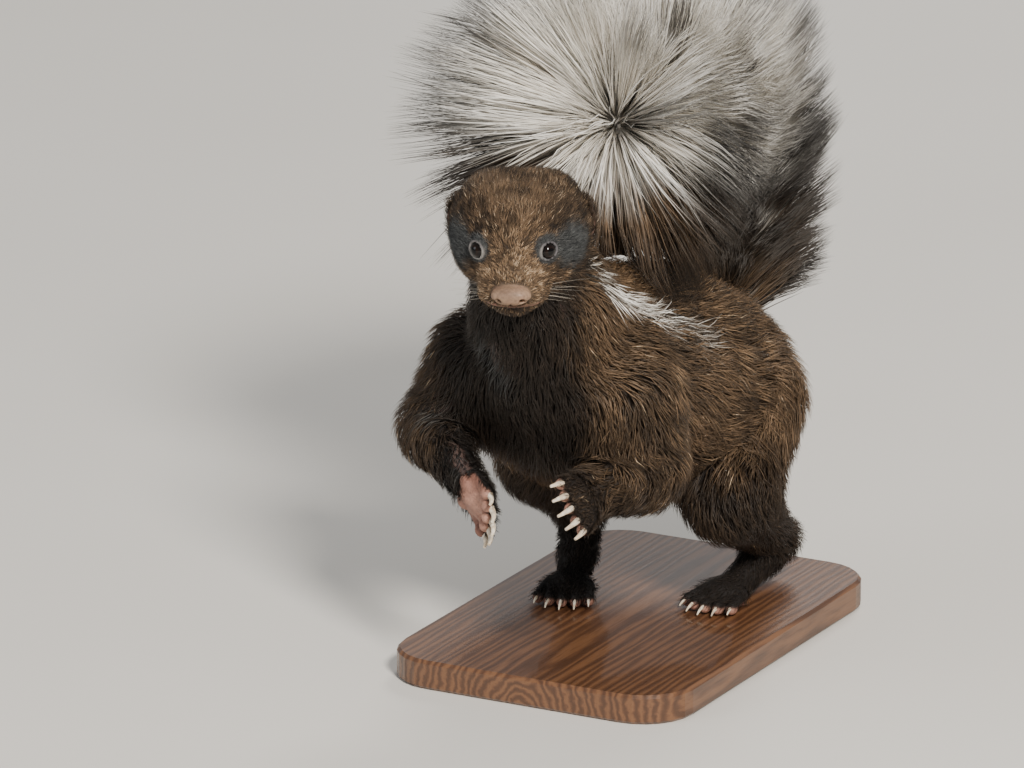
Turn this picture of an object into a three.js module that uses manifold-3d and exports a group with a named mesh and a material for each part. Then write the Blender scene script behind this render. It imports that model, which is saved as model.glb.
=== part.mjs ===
// A life-size still model of a striped skunk, stamping: its forefeet are raised, its hind feet are
// planted on a plain base, and its tail is arched over its back with the long hair fanned out.
// Millimetres, +Z up. The animal faces -Y and its left side is +X. The origin is the middle of the
// base's underside.
import * as THREE from "three";
import { mergeVertices } from "three/addons/utils/BufferGeometryUtils.js";
import Module from "manifold-3d";

const wasm = await Module();
wasm.setup();

// Driving sizes. Points of the body are measured from the middle of the base's top.
const GAP = 0.3;
const SHORTEST_EDGE = 0.06;
const FLATNESS = 17;
const BASE = { width: 150, length: 220, middle: 6, height: 14, corner: 24, edge: 1.5 };

const HEAD = { centre: [6, -118, 212], yaw: 22, pitch: -16, roll: 1 };
const EYE = { radius: 4.1, depth: 2.5, aim: [0.72, 0.66, 0.2], from: [8, 2.5, 4.5], lid: 1.25 };
const EAR = { at: [-10, 27, 4], half: [9.5, 5.2, 12], cup: 0.78, aim: [0.55, 0.83, 0.12] };
const NOSE = { at: [36.8, 0, -6.2], half: [5, 9, 4.4], nostril: 1.35 };
const MOUTH = { front: 34, level: -12.8, curve: 0.1, back: 13.5, depth: 8, slit: 0.9 };

// The trunk's swellings: rump, loin, ribs, chest and the two shoulders
const TRUNK = [
  { centre: [0, 60, 96], half: [49, 48, 49] },
  { centre: [0, 22, 108], half: [52, 54, 54] },
  { centre: [0, -25, 121], half: [50, 54, 54] },
  { centre: [1, -60, 134], half: [42, 36, 48] },
  { centre: [30, -60, 126], half: [19, 25, 31] },
  { centre: [-31, -60, 126], half: [19, 25, 31] },
];
const NECK = { from: [2, -72, 148], to: [5, -104, 196], radii: [41, 30] };

// Limbs: joint positions, with the radius of flesh and coat at each.
const FORELEGS = {
  left: {
    points: [[33, -66, 128], [39, -57, 91], [27, -91, 88]],
    radii: [24, 18, 12.5],
    paw: { forward: [0.28, -0.95, 0.12], palm: [-0.8, -0.2, -0.42] },
  },
  right: {
    points: [[-39, -71, 137], [-59, -78, 103], [-28, -108, 94]],
    radii: [25, 16.5, 10],
    paw: { forward: [0.77, -0.49, -0.41], palm: [-0.5, -0.8, -0.12] },
  },
};
const HINDLEGS = {
  left: {
    points: [[27, 58, 90], [42, 22, 58], [38, 80, 20]],
    radii: [34, 22, 11.5],
    toe: [33, 20, 5],
  },
  right: {
    points: [[-27, 58, 90], [-43, -2, 72], [-44, 40, 33]],
    radii: [34, 22, 11.5],
    toe: [-31, -4, 5],
  },
};

// The tail's line, and at equal shares of it the core's radius, how far the hair's tips reach from
// the line, and the hair's lean from square towards the tail's tip.
const TAIL = {
  path: [[0, 82, 104], [0, 106, 144], [-2, 105, 184], [-4, 80, 218], [-6, 39, 233], [-8, -1, 235]],
  core: [20, 25, 33, 40, 38],
  reach: [27, 45, 71, 92, 99],
  lean: [50, 52, 47, 38, 28],
  under: { reach: -0.08, lean: 0.4 },
  rootShare: 0.24,
  rootRings: 2,
  rootLocks: 9,
  rings: 7,
  ringLocks: 12,
  width: 24,
  thickness: 4.2,
  clearance: 4,
  seed: 1,
};
const TAIL_CAP = { locks: 19, lean: [34, 84], length: [76, 35] };

// How much neighbouring forms melt into one another
const SOFT = { trunk: 18, neck: 14, head: 9, paw: 2.2, instep: 6, tail: 14 };

// The spacing of the meshes, finest where the forms are small
const STEP = { torso: 9, neck: 7, head: 4, foreleg: 6, hindleg: 7, instep: 5, tail: 8 };

// A paw's palm and toes, as shares of the paw's length and width
const PALM = { ahead: 0.3, half: [0.42, 0.46, 0.3] };
const TOE = { count: 5, fan: 0.09, spacing: 0.2, length: 0.62, shorter: 0.055, radii: [0.13, 0.115] };
const FOREPAW = { length: 27, width: 23, clawLength: 11, clawRadius: 1.9 };
const HINDPAW = { length: 27, width: 24, clawLength: 7, clawRadius: 1.4 };
const HEEL = { high: 15, radii: [10.5, 8.5, 7.5], ball: 22 };

// Long hair of the body: the solid core lies this far under the tips, and locks cover it.
const COAT = {
  core: 5.5,
  rise: 1.5,
  sunk: 3.5,
  length: 48,
  width: 20,
  thickness: 3,
  rows: 6,
  round: 13,
  from: -52,
  to: 82,
  halfTurn: 2.5,
  seed: 21,
};

// Points, directions and turns
const vec = ([x, y, z]) => new THREE.Vector3(x, y, z);
const degrees = THREE.MathUtils.degToRad;
const lerp = THREE.MathUtils.lerp;
const clamp = THREE.MathUtils.clamp;

// The head's own axes: forward along the muzzle, left, and up through the crown.
const headAxes = (() => {
  const yaw = degrees(HEAD.yaw);
  const pitch = degrees(HEAD.pitch);
  const forward = vec([
    Math.sin(yaw) * Math.cos(pitch),
    -Math.cos(yaw) * Math.cos(pitch),
    Math.sin(pitch),
  ]);
  const level = vec([Math.cos(yaw), Math.sin(yaw), 0]);
  const left = level.applyAxisAngle(forward, degrees(HEAD.roll));
  const up = forward.clone().cross(left);
  return { forward, left, up };
})();

function headDirection([forward, left, up]) {
  return new THREE.Vector3()
    .addScaledVector(headAxes.forward, forward)
    .addScaledVector(headAxes.left, left)
    .addScaledVector(headAxes.up, up);
}

const headPoint = (place) => headDirection(place).add(vec(HEAD.centre));
const headTurn = new THREE.Quaternion().setFromRotationMatrix(
  new THREE.Matrix4().makeBasis(headAxes.forward, headAxes.left, headAxes.up),
);

// A field gives a point's rough distance from a form's surface, negative inside it.
function ball(centre, half, turn = new THREE.Quaternion()) {
  const back = turn.clone().invert();
  const [a, b, c] = half;
  const p = new THREE.Vector3();
  return (point) => {
    p.copy(point).sub(centre).applyQuaternion(back);
    const share = Math.hypot(p.x / a, p.y / b, p.z / c);
    const slope = Math.hypot(p.x / a ** 2, p.y / b ** 2, p.z / c ** 2);
    return slope < 1e-9 ? -Math.min(a, b, c) : (share * (share - 1)) / slope;
  };
}

function bone(from, to, startRadius, endRadius) {
  const along = to.clone().sub(from);
  const lengthSquared = along.lengthSq();
  const p = new THREE.Vector3();
  return (point) => {
    const t = clamp(p.copy(point).sub(from).dot(along) / lengthSquared, 0, 1);
    return p.addScaledVector(along, -t).length() - lerp(startRadius, endRadius, t);
  };
}

// The union of fields, rounded over about the given width where they meet.
function blend(width, ...fields) {
  return (point) =>
    fields
      .map((field) => field(point))
      .reduce((a, b) => {
        const h = Math.max(width - Math.abs(a - b), 0) / width;
        return Math.min(a, b) - (h * h * width) / 4;
      });
}

// A closed mesh of a field by surface nets: one point in each cell that the surface crosses.
function meshOf(field, low, high, step) {
  const count = low.map((v, i) => Math.ceil((high[i] - v) / step) + 1);
  const node = (i, j, k) => (k * count[1] + j) * count[0] + i;
  const values = new Float32Array(count[0] * count[1] * count[2]);
  const point = new THREE.Vector3();
  for (let k = 0; k < count[2]; k++)
    for (let j = 0; j < count[1]; j++)
      for (let i = 0; i < count[0]; i++) {
        point.set(low[0] + i * step, low[1] + j * step, low[2] + k * step);
        const rim = [i, j, k].some((c, n) => c === 0 || c === count[n] - 1);
        values[node(i, j, k)] = rim ? Math.max(field(point), step / 4) : field(point);
      }
  const positions = [];
  const cellPoint = new Map();
  const corners = [0, 1].flatMap((k) => [0, 1].flatMap((j) => [0, 1].map((i) => [i, j, k])));
  for (let k = 0; k < count[2] - 1; k++)
    for (let j = 0; j < count[1] - 1; j++)
      for (let i = 0; i < count[0] - 1; i++) {
        const sum = [0, 0, 0];
        let crossings = 0;
        for (const a of corners)
          for (let axis = 0; axis < 3; axis++) {
            if (a[axis]) continue;
            const b = a.map((v, n) => (n === axis ? 1 : v));
            const va = values[node(i + a[0], j + a[1], k + a[2])];
            const vb = values[node(i + b[0], j + b[1], k + b[2])];
            if (va < 0 === vb < 0) continue;
            const t = va / (va - vb);
            for (let n = 0; n < 3; n++) sum[n] += lerp(a[n], b[n], t);
            crossings++;
          }
        if (!crossings) continue;
        cellPoint.set(node(i, j, k), positions.length / 3);
        [i, j, k].forEach((c, n) => positions.push(low[n] + (c + sum[n] / crossings) * step));
      }
  const faces = [];
  const unit = [[1, 0, 0], [0, 1, 0], [0, 0, 1]];
  for (let k = 0; k < count[2] - 1; k++)
    for (let j = 0; j < count[1] - 1; j++)
      for (let i = 0; i < count[0] - 1; i++)
        for (let axis = 0; axis < 3; axis++) {
          const next = [i, j, k].map((v, n) => v + unit[axis][n]);
          const here = values[node(i, j, k)] < 0;
          if (here === values[node(...next)] < 0) continue;
          const [b, c] = [unit[(axis + 1) % 3], unit[(axis + 2) % 3]];
          const cell = (m, n) =>
            cellPoint.get(node(...[i, j, k].map((v, q) => v - m * b[q] - n * c[q])));
          const loop = [cell(0, 0), cell(1, 0), cell(1, 1), cell(0, 1)];
          if (!here) loop.reverse();
          faces.push(loop[0], loop[1], loop[2], loop[0], loop[2], loop[3]);
        }
  return thinned(meshFrom(positions, faces), step * 1.7, degrees(FLATNESS));
}

// A geometry's points and triangles alone, with the points that its faces share merged
function bare(geometry) {
  geometry.deleteAttribute("normal");
  geometry.deleteAttribute("uv");
  return mergeVertices(geometry, 1e-4);
}

// The same closed mesh with fewer faces. An edge is closed up where it is very short, or where it is
// shorter than a limit and the faces round it turn by less than an angle.
function thinned(geometry, limit = 0, turn = 0) {
  const points = [];
  const { position } = geometry.attributes;
  for (let i = 0; i < position.count; i++)
    points.push(new THREE.Vector3().fromBufferAttribute(position, i));
  const faces = [];
  const facesAt = points.map(() => new Set());
  for (let i = 0; i < geometry.index.count; i += 3) {
    const face = [0, 1, 2].map((n) => geometry.index.getX(i + n));
    face.forEach((v) => facesAt[v].add(faces.length));
    faces.push(face);
  }
  const [u, w] = [new THREE.Vector3(), new THREE.Vector3()];
  const areaVector = ([a, b, c]) =>
    u.subVectors(points[b], points[a]).cross(w.subVectors(points[c], points[a])).clone();
  const around = (v) => new Set([...facesAt[v]].flatMap((f) => faces[f]));
  const bendCosine = Math.cos(turn);

  function mayClose(keep, drop) {
    const length = points[keep].distanceTo(points[drop]);
    const tiny = length < SHORTEST_EDGE;
    if (!tiny && length > limit) return false;
    const shared = [...around(keep)].filter((v) => around(drop).has(v));
    if (shared.length !== 4) return false;
    for (const f of facesAt[drop]) {
      if (faces[f].includes(keep)) continue;
      const before = areaVector(faces[f]);
      const after = areaVector(faces[f].map((v) => (v === drop ? keep : v)));
      const cosine = before.dot(after) / (before.length() * after.length() || 1);
      const wasSliver = before.length() < SHORTEST_EDGE ** 2;
      if (tiny ? !wasSliver && cosine < 0.5 : cosine < bendCosine) return false;
      if (!tiny && after.length() < length * SHORTEST_EDGE) return false;
    }
    return true;
  }

  function close(keep, drop) {
    for (const f of [...facesAt[drop]]) {
      if (faces[f].includes(keep)) {
        faces[f].forEach((v) => facesAt[v].delete(f));
        faces[f] = null;
      } else {
        faces[f] = faces[f].map((v) => (v === drop ? keep : v));
        facesAt[keep].add(f);
      }
    }
    facesAt[drop].clear();
  }

  for (let pass = 0; pass < 4; pass++)
    faces.forEach((_, f) => {
      for (let n = 0; n < 3 && faces[f]; n++) {
        const [keep, drop] = [faces[f][n], faces[f][(n + 1) % 3]];
        if (mayClose(keep, drop)) close(keep, drop);
        else if (mayClose(drop, keep)) close(drop, keep);
      }
    });

  const used = points.map((_, v) => v).filter((v) => facesAt[v].size);
  const newIndex = new Map(used.map((v, i) => [v, i]));
  return meshFrom(
    used.flatMap((v) => points[v].toArray()),
    faces.filter(Boolean).flatMap((face) => face.map((v) => newIndex.get(v))),
  );
}

function meshFrom(positions, faces) {
  const geometry = new THREE.BufferGeometry();
  geometry.setAttribute("position", new THREE.Float32BufferAttribute(positions, 3));
  geometry.setIndex(faces);
  return geometry;
}

// Joins and cuts
function solidOf(geometry) {
  return new wasm.Manifold(
    new wasm.Mesh({
      numProp: 3,
      vertProperties: new Float32Array(geometry.attributes.position.array),
      triVerts: new Uint32Array(geometry.index.array),
    }),
  );
}

// The largest closed surface of a solid, which drops scraps and fills sealed hollows.
function geometryOf(solid) {
  const pieces = solid.decompose();
  const largest = pieces.reduce((a, b) => (b.volume() > a.volume() ? b : a));
  const { numProp, vertProperties, triVerts } = largest.getMesh();
  const positions = [];
  for (let i = 0; i < vertProperties.length; i += numProp)
    positions.push(vertProperties[i], vertProperties[i + 1], vertProperties[i + 2]);
  return parted(thinned(meshFrom(positions, [...triVerts])));
}

// Points of two sheets that touch in one place are drawn apart, each into its own side of the solid.
function parted(geometry) {
  const { position } = geometry.attributes;
  const keyOf = (i) =>
    [position.getX(i), position.getY(i), position.getZ(i)].map((v) => v.toFixed(3)).join();
  const count = new Map();
  for (let i = 0; i < position.count; i++) count.set(keyOf(i), (count.get(keyOf(i)) ?? 0) + 1);
  return grown(geometry, -SHORTEST_EDGE / 4, (i) => count.get(keyOf(i)) > 1);
}

// The same mesh with its points, or those that are chosen, moved out by a distance.
function grown(geometry, distance, chosen = () => true) {
  const copy = geometry.clone();
  copy.computeVertexNormals();
  const { normal } = copy.attributes;
  const { position } = geometry.attributes;
  for (let i = 0; i < position.count; i++) {
    const far = chosen(i) ? distance : 0;
    copy.attributes.position.setXYZ(
      i,
      position.getX(i) + normal.getX(i) * far,
      position.getY(i) + normal.getY(i) * far,
      position.getZ(i) + normal.getZ(i) * far,
    );
  }
  copy.deleteAttribute("normal");
  return copy;
}

const solidSum = (geometries) => geometries.map(solidOf).reduce((a, b) => a.add(b));

const joined = (...geometries) => geometryOf(solidSum(geometries));

const without = (geometry, ...cutters) =>
  geometryOf(solidOf(geometry).subtract(solidSum(cutters)));

// What clears a form by the gap, also in its creases, where grown faces can fall short
const around = (...geometries) =>
  geometries.flatMap((geometry) => [geometry, grown(geometry, GAP / 2), grown(geometry, GAP)]);

// The point where a ray from inside a field leaves it.
function surfacePoint(field, from, direction, reach) {
  let [inside, outside] = [0, reach];
  const point = new THREE.Vector3();
  for (let i = 0; i < 24; i++) {
    const middle = (inside + outside) / 2;
    if (field(point.copy(from).addScaledVector(direction, middle)) < 0) inside = middle;
    else outside = middle;
  }
  return point.clone();
}

// The direction in which a field grows fastest
function slopeOf(field, point) {
  const step = 0.5;
  const probe = (x, y, z) => field(point.clone().add(vec([x, y, z])));
  return vec([
    probe(step, 0, 0) - probe(-step, 0, 0),
    probe(0, step, 0) - probe(0, -step, 0),
    probe(0, 0, step) - probe(0, 0, -step),
  ]).normalize();
}

// A point moved along a field's slope until it stands at a height over the field's surface
function atHeight(point, field, height) {
  for (let i = 0; i < 4; i++)
    point.addScaledVector(slopeOf(field, point), height - field(point));
  return point;
}

// An ellipsoid, sized and turned as a whole
function ellipsoid(centre, half, turn, around, down) {
  const geometry = bare(new THREE.SphereGeometry(1, around, down));
  geometry.scale(...half);
  geometry.applyQuaternion(turn);
  return geometry.translate(centre.x, centre.y, centre.z);
}

// Repeatable random numbers from -1 to 1
function randomFrom(seed) {
  let state = seed;
  return () => {
    state = (Math.imul(state, 1664525) + 1013904223) >>> 0;
    return state / 2 ** 31 - 1;
  };
}

// A value at a share of the way along a list of equally spaced values
function valueAt(values, share) {
  const place = clamp(share, 0, 1) * (values.length - 1);
  const i = Math.min(Math.floor(place), values.length - 2);
  return lerp(values[i], values[i + 1], place - i);
}

// A closed tube along a curve, with half-widths across and along a reference direction
function taperedTube(curve, reference, steps, sides, halfWidths) {
  const positions = [];
  const faces = [];
  const side = new THREE.Vector3();
  const rise = new THREE.Vector3();
  for (let i = 0; i <= steps; i++) {
    const t = i / steps;
    const centre = curve.getPoint(t);
    const tangent = curve.getTangent(t);
    side.crossVectors(reference, tangent).normalize();
    rise.crossVectors(tangent, side);
    const [wide, high] = halfWidths(t);
    for (let j = 0; j < sides; j++) {
      const angle = (j / sides) * Math.PI * 2;
      const p = centre.clone();
      p.addScaledVector(side, wide * Math.cos(angle)).addScaledVector(rise, high * Math.sin(angle));
      positions.push(...p.toArray());
    }
  }
  for (let i = 0; i < steps; i++)
    for (let j = 0; j < sides; j++) {
      const [a, b] = [i * sides + j, i * sides + ((j + 1) % sides)];
      faces.push(a, b, b + sides, a, b + sides, a + sides);
    }
  const last = steps * sides;
  for (let j = 1; j < sides - 1; j++) faces.push(0, j + 1, j, last, last + j, last + j + 1);
  return meshFrom(positions, faces);
}

// A lock of hair: a flat blade through four points, widest before its middle, thin at its tip
function lock(points, flat, width, thickness) {
  const curve = new THREE.CatmullRomCurve3(points);
  const profile = (t) => {
    const share = Math.min(1, 0.6 + 1.4 * t) * (1 - 0.9 * t ** 1.8);
    return [(width / 2) * share, (thickness / 2) * Math.max(share, 0.35)];
  };
  return taperedTube(curve, flat, 3, 4, profile);
}
const LOCK_SHARES = [0, 1 / 3, 2 / 3, 1];

// A lock that lies along a body: its root is sunk and its tip stands at the height of the coat.
function bodyLock(coreField, root, lie, random) {
  const out = slopeOf(coreField, root);
  const along = lie.clone().addScaledVector(out, -lie.dot(out)).normalize();
  const across = out.clone().cross(along);
  along.addScaledVector(across, 0.22 * random()).normalize();
  const length = COAT.length * (1 + 0.15 * random());
  const tipHeight = COAT.core + COAT.rise * (1 + random());
  const points = LOCK_SHARES.map((share) => {
    const p = root.clone().addScaledVector(along, length * share);
    return atHeight(p, coreField, lerp(-COAT.sunk, tipHeight, share ** 0.8));
  });
  return lock(points, out, COAT.width * (1 + 0.15 * random()), COAT.thickness);
}

// Torso
const trunkField = blend(SOFT.trunk, ...TRUNK.map(({ centre, half }) => ball(vec(centre), half)));
const trunkCoreField = (p) => trunkField(p) + COAT.core;
const torsoCore = meshOf(trunkCoreField, [-70, -115, 25], [70, 125, 190], STEP.torso);

// Head: cranium, brow, cheeks, muzzle and jaw, in its own axes
const headBall = (place, half) => ball(headPoint(place), half, headTurn);
const headField = blend(
  SOFT.head,
  headBall([-5, 0, 3], [30, 29, 23.5]),
  headBall([8, 0, 5], [22, 21, 16]),
  ...[1, -1].flatMap((side) => [
    headBall([-8, side * 13, 6.5], [22, 16, 17.5]),
    headBall([-4, side * 15, -5], [20, 12, 14]),
    bone(headPoint([4, side * 3, -2]), headPoint([25.5, side * 4.8, -7]), 16, 10.6),
  ]),
  bone(headPoint([2, 0, -12]), headPoint([24, 0, -13]), 12, 7.5),
);
const headSkull = meshOf(headField, [-45, -170, 165], [55, -70, 255], STEP.head);

function eyeParts(side) {
  const aim = headDirection([EYE.aim[0], side * EYE.aim[1], EYE.aim[2]]).normalize();
  const from = headPoint([EYE.from[0], side * EYE.from[1], EYE.from[2]]);
  const centre = surfacePoint(headField, from, aim, 60).addScaledVector(aim, -EYE.depth);
  const turn = new THREE.Quaternion().setFromUnitVectors(vec([0, 0, 1]), aim);
  const ballOf = (radius) => ellipsoid(centre, [radius, radius, radius], turn, 12, 8);
  const lids = bare(new THREE.TorusGeometry(EYE.radius - 0.3, EYE.lid, 6, 16));
  lids.applyQuaternion(turn);
  const front = centre.clone().addScaledVector(aim, EYE.depth - 0.4);
  lids.translate(front.x, front.y, front.z);
  return { eye: ballOf(EYE.radius), socket: ballOf(EYE.radius + GAP), lids };
}
const eyes = { left: eyeParts(1), right: eyeParts(-1) };

// The mouth is a slit in the level of the lips, bent round the muzzle like a parabola.
function mouthSlit() {
  const outline = new THREE.Shape();
  const steps = 8;
  const trace = (offset, direction) => {
    const reach = Math.sqrt((MOUTH.front + offset - MOUTH.back) / MOUTH.curve);
    for (let i = -steps; i <= steps; i++) {
      const side = (direction * i * reach) / steps;
      outline.lineTo(MOUTH.front + offset - MOUTH.curve * side ** 2, side);
    }
  };
  outline.moveTo(MOUTH.back, -Math.sqrt((MOUTH.front - MOUTH.back) / MOUTH.curve));
  trace(0, 1);
  trace(MOUTH.depth, -1);
  outline.closePath();
  const slit = bare(
    new THREE.ExtrudeGeometry(outline, { depth: MOUTH.slit, bevelEnabled: false }),
  );
  slit.applyQuaternion(headTurn);
  const place = headPoint([0, 0, MOUTH.level]);
  return slit.translate(place.x, place.y, place.z);
}

const noseBall = ellipsoid(headPoint(NOSE.at), NOSE.half, headTurn, 12, 8);
function nostril(side) {
  const [x, , z] = NOSE.at;
  const inner = headPoint([x + 1, side * 4, z - 0.6]);
  const outer = headPoint([x + 6.5, side * 7, z - 1.4]);
  const path = new THREE.LineCurve3(inner, outer);
  const round = new THREE.Shape().absellipse(0, 0, NOSE.nostril, NOSE.nostril, 0, Math.PI * 2);
  return bare(
    new THREE.ExtrudeGeometry(round, { steps: 1, extrudePath: path, curveSegments: 3 }),
  );
}

const head = without(
  joined(headSkull, eyes.left.lids, eyes.right.lids),
  eyes.left.socket,
  eyes.right.socket,
  mouthSlit(),
);
const nose = without(noseBall, grown(headSkull, GAP), nostril(1), nostril(-1));

// Neck, between the trunk and the head
const neckField = blend(
  SOFT.neck,
  bone(vec(NECK.from), vec(NECK.to), ...NECK.radii),
  trunkField,
);
const neckRegion = bone(vec(NECK.from), vec(NECK.to), NECK.radii[0] + 8, NECK.radii[1] + 4);
const neckWholeField = (p) => Math.max(neckField(p), neckRegion(p));
const neckWhole = meshOf(neckWholeField, [-60, -150, 85], [60, -15, 240], STEP.neck);
const neck = without(neckWhole, grown(torsoCore, GAP), grown(headSkull, GAP));

// Ears: shallow cups that open forward and outward
function earParts(side) {
  const aim = headDirection([EAR.aim[0], side * EAR.aim[1], EAR.aim[2]]).normalize();
  const up = headAxes.up.clone().addScaledVector(aim, -headAxes.up.dot(aim)).normalize();
  const across = aim.clone().cross(up);
  const basis = new THREE.Matrix4().makeBasis(across, aim, up);
  const turn = new THREE.Quaternion().setFromRotationMatrix(basis);
  const centre = headPoint([EAR.at[0], side * EAR.at[1], EAR.at[2]]);
  const outer = ellipsoid(centre, EAR.half, turn, 14, 8);
  const mouth = centre.clone().addScaledVector(aim, EAR.half[1] * 0.75);
  const inner = ellipsoid(mouth, EAR.half.map((v) => v * EAR.cup), turn, 12, 7);
  return { centre, ear: without(outer, inner, grown(headSkull, GAP), grown(neckWhole, GAP)) };
}
const ears = [earParts(1), earParts(-1)];

// Limbs
function box(points, margin) {
  const bounds = new THREE.Box3().setFromPoints(points.map(vec)).expandByScalar(margin);
  return [bounds.min.toArray(), bounds.max.toArray()];
}

// A curved claw: a tapered cone bent towards the palm
function claw(root, forward, palm, length, radius) {
  const tip = root.clone().addScaledVector(forward, length).addScaledVector(palm, length * 0.42);
  const middle = root.clone().addScaledVector(forward, length * 0.62);
  const curve = new THREE.QuadraticBezierCurve3(root, middle, tip);
  return taperedTube(curve, palm, 4, 5, (t) => [radius * (1 - 0.88 * t), radius * (1 - 0.88 * t)]);
}

// A paw: palm, five toes and their claws. forward runs out along the toes, palm is where the sole faces.
function paw({ wrist, forward, palm, length, width, clawLength, clawRadius }) {
  const across = palm.clone().cross(forward).normalize();
  const turn = new THREE.Quaternion().setFromRotationMatrix(
    new THREE.Matrix4().makeBasis(forward, across, palm),
  );
  const middle = wrist.clone().addScaledVector(forward, length * PALM.ahead);
  const [long, wide, thick] = PALM.half;
  const fields = [ball(middle, [length * long, width * wide, width * thick], turn)];
  const claws = [];
  const outermost = (TOE.count - 1) / 2;
  for (let toe = -outermost; toe <= outermost; toe++) {
    const reach = 1 - TOE.shorter * toe ** 2;
    const direction = forward.clone().addScaledVector(across, toe * TOE.fan).normalize();
    const root = middle.clone().addScaledVector(across, toe * width * TOE.spacing);
    const end = root.clone().addScaledVector(direction, length * TOE.length * reach);
    end.addScaledVector(palm, width * TOE.radii[1] / 2);
    fields.push(bone(root, end, ...TOE.radii.map((share) => width * share)));
    const nail = end.clone().addScaledVector(direction, width * TOE.radii[1] / 4);
    claws.push(claw(nail, direction, palm, clawLength * reach, clawRadius));
  }
  const [low, high] = box([wrist.toArray()], length + clawLength);
  const flesh = meshOf(blend(SOFT.paw, ...fields), low, high, width * TOE.radii[1]);
  return joined(flesh, ...claws);
}

// A limb's two bones with their flesh and coat, the second cut to meet the first
function limb({ points, radii }, step, ...cutters) {
  const [a, b, c] = points.map(vec);
  const fields = [bone(a, b, radii[0], radii[1]), bone(b, c, radii[1] * 0.94, radii[2])];
  const [upper, lower] = fields.map((field, i) =>
    meshOf(field, ...box(points.slice(i, i + 2), radii[i] + step), step),
  );
  return {
    fields,
    whole: [upper, lower],
    upper: without(upper, ...cutters),
    lower: without(lower, grown(upper, GAP), ...cutters),
  };
}

function foreleg(spec) {
  const leg = limb(spec, STEP.foreleg, grown(torsoCore, GAP), grown(neckWhole, GAP));
  const [forward, palm] = [vec(spec.paw.forward).normalize(), vec(spec.paw.palm)];
  palm.addScaledVector(forward, -palm.dot(forward)).normalize();
  const wrist = vec(spec.points[2]).addScaledVector(forward, 5);
  const hand = paw({ wrist, forward, palm, ...FOREPAW });
  return { ...leg, end: without(hand, grown(leg.whole[1], GAP)) };
}

function hindleg(spec) {
  const leg = limb(spec, STEP.hindleg, grown(torsoCore, GAP));
  const ankle = vec(spec.points[2]);
  const toe = vec(spec.toe);
  const forward = toe.clone().sub(ankle).setZ(0).normalize();
  const down = vec([0, 0, -1]);
  const heel = ankle.clone().lerp(toe, 0.22).setZ(Math.min(ankle.z - 6, HEEL.high));
  const ballOfFoot = toe.clone().addScaledVector(forward, -HEEL.ball).setZ(6);
  const [ankleRadius, heelRadius, ballRadius] = HEEL.radii;
  const shank = bone(ankle, heel, ankleRadius, heelRadius);
  const sole = bone(heel, ballOfFoot, heelRadius, ballRadius);
  const bounds = box([ankle.toArray(), toe.toArray()], 24);
  const instep = meshOf(blend(SOFT.instep, shank, sole), ...bounds, STEP.instep);
  const toes = paw({ wrist: ballOfFoot, forward, palm: down, ...HINDPAW });
  const floor = bare(new THREE.BoxGeometry(200, 200, 40)).translate(toe.x, toe.y, GAP - 20);
  return { ...leg, end: without(joined(instep, toes), grown(leg.whole[1], GAP), floor) };
}

const forelegs = { left: foreleg(FORELEGS.left), right: foreleg(FORELEGS.right) };
const hindlegs = { left: hindleg(HINDLEGS.left), right: hindleg(HINDLEGS.right) };

// Tail: a core along a bent line
const tailCurve = new THREE.CatmullRomCurve3(TAIL.path.map(vec));
function tailCore(from, to) {
  const count = 5;
  const balls = [];
  for (let i = 0; i < count; i++) {
    const share = lerp(from, to, i / (count - 1));
    const radius = valueAt(TAIL.core, share);
    balls.push(ball(tailCurve.getPointAt(share), [radius, radius, radius]));
  }
  return meshOf(blend(SOFT.tail, ...balls), [-60, -50, 70], [60, 150, 290], STEP.tail);
}
const tailRootCore = tailCore(0, TAIL.rootShare);
const tailPlumeCore = tailCore(TAIL.rootShare + 0.12, 1);

// What the tail's hair bends clear of
const bodyField = (p) =>
  Math.min(
    trunkField(p) - COAT.rise,
    neckField(p),
    headField(p),
    ...ears.map(({ centre }) => centre.distanceTo(p) - EAR.half[2]),
  );

// The tail's line at a share of its length, with directions along it, to its left and over it
function tailFrame(share) {
  const centre = tailCurve.getPointAt(share);
  const along = tailCurve.getTangentAt(share);
  const left = vec([1, 0, 0]);
  left.addScaledVector(along, -left.dot(along)).normalize();
  return { centre, along, left, over: along.clone().cross(left) };
}

// One lock of the tail. Its angle is round the line, and its lean is from square towards the tip.
function tailLock({ share, angle, lean, length, random }) {
  const { centre, along, left, over } = tailFrame(share);
  const turned = angle + 0.16 * random();
  const out = left.multiplyScalar(Math.cos(turned)).addScaledVector(over, Math.sin(turned));
  const [sine, cosine] = [Math.sin(lean), Math.cos(lean)];
  const direction = out.clone().multiplyScalar(cosine).addScaledVector(along, sine);
  const flat = along.clone().multiplyScalar(cosine).addScaledVector(out, -sine);
  const across = direction.clone().cross(flat);
  const start = centre.addScaledVector(direction, valueAt(TAIL.core, share) * 0.7);
  const curl = 0.2 * length * (0.5 + random());
  const sway = 0.14 * length * random();
  const points = LOCK_SHARES.map((part) => {
    const p = start.clone().addScaledVector(direction, length * part);
    p.addScaledVector(flat, curl * (part - part ** 2)).addScaledVector(across, sway * part ** 2);
    p.z -= 0.07 * length * part ** 2;
    return part > 0.2 && bodyField(p) < TAIL.clearance
      ? atHeight(p, bodyField, TAIL.clearance)
      : p;
  });
  const twisted = flat.applyAxisAngle(direction, 0.75 * random());
  return lock(points, twisted, TAIL.width * (1 + 0.18 * random()), TAIL.thickness);
}

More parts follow.
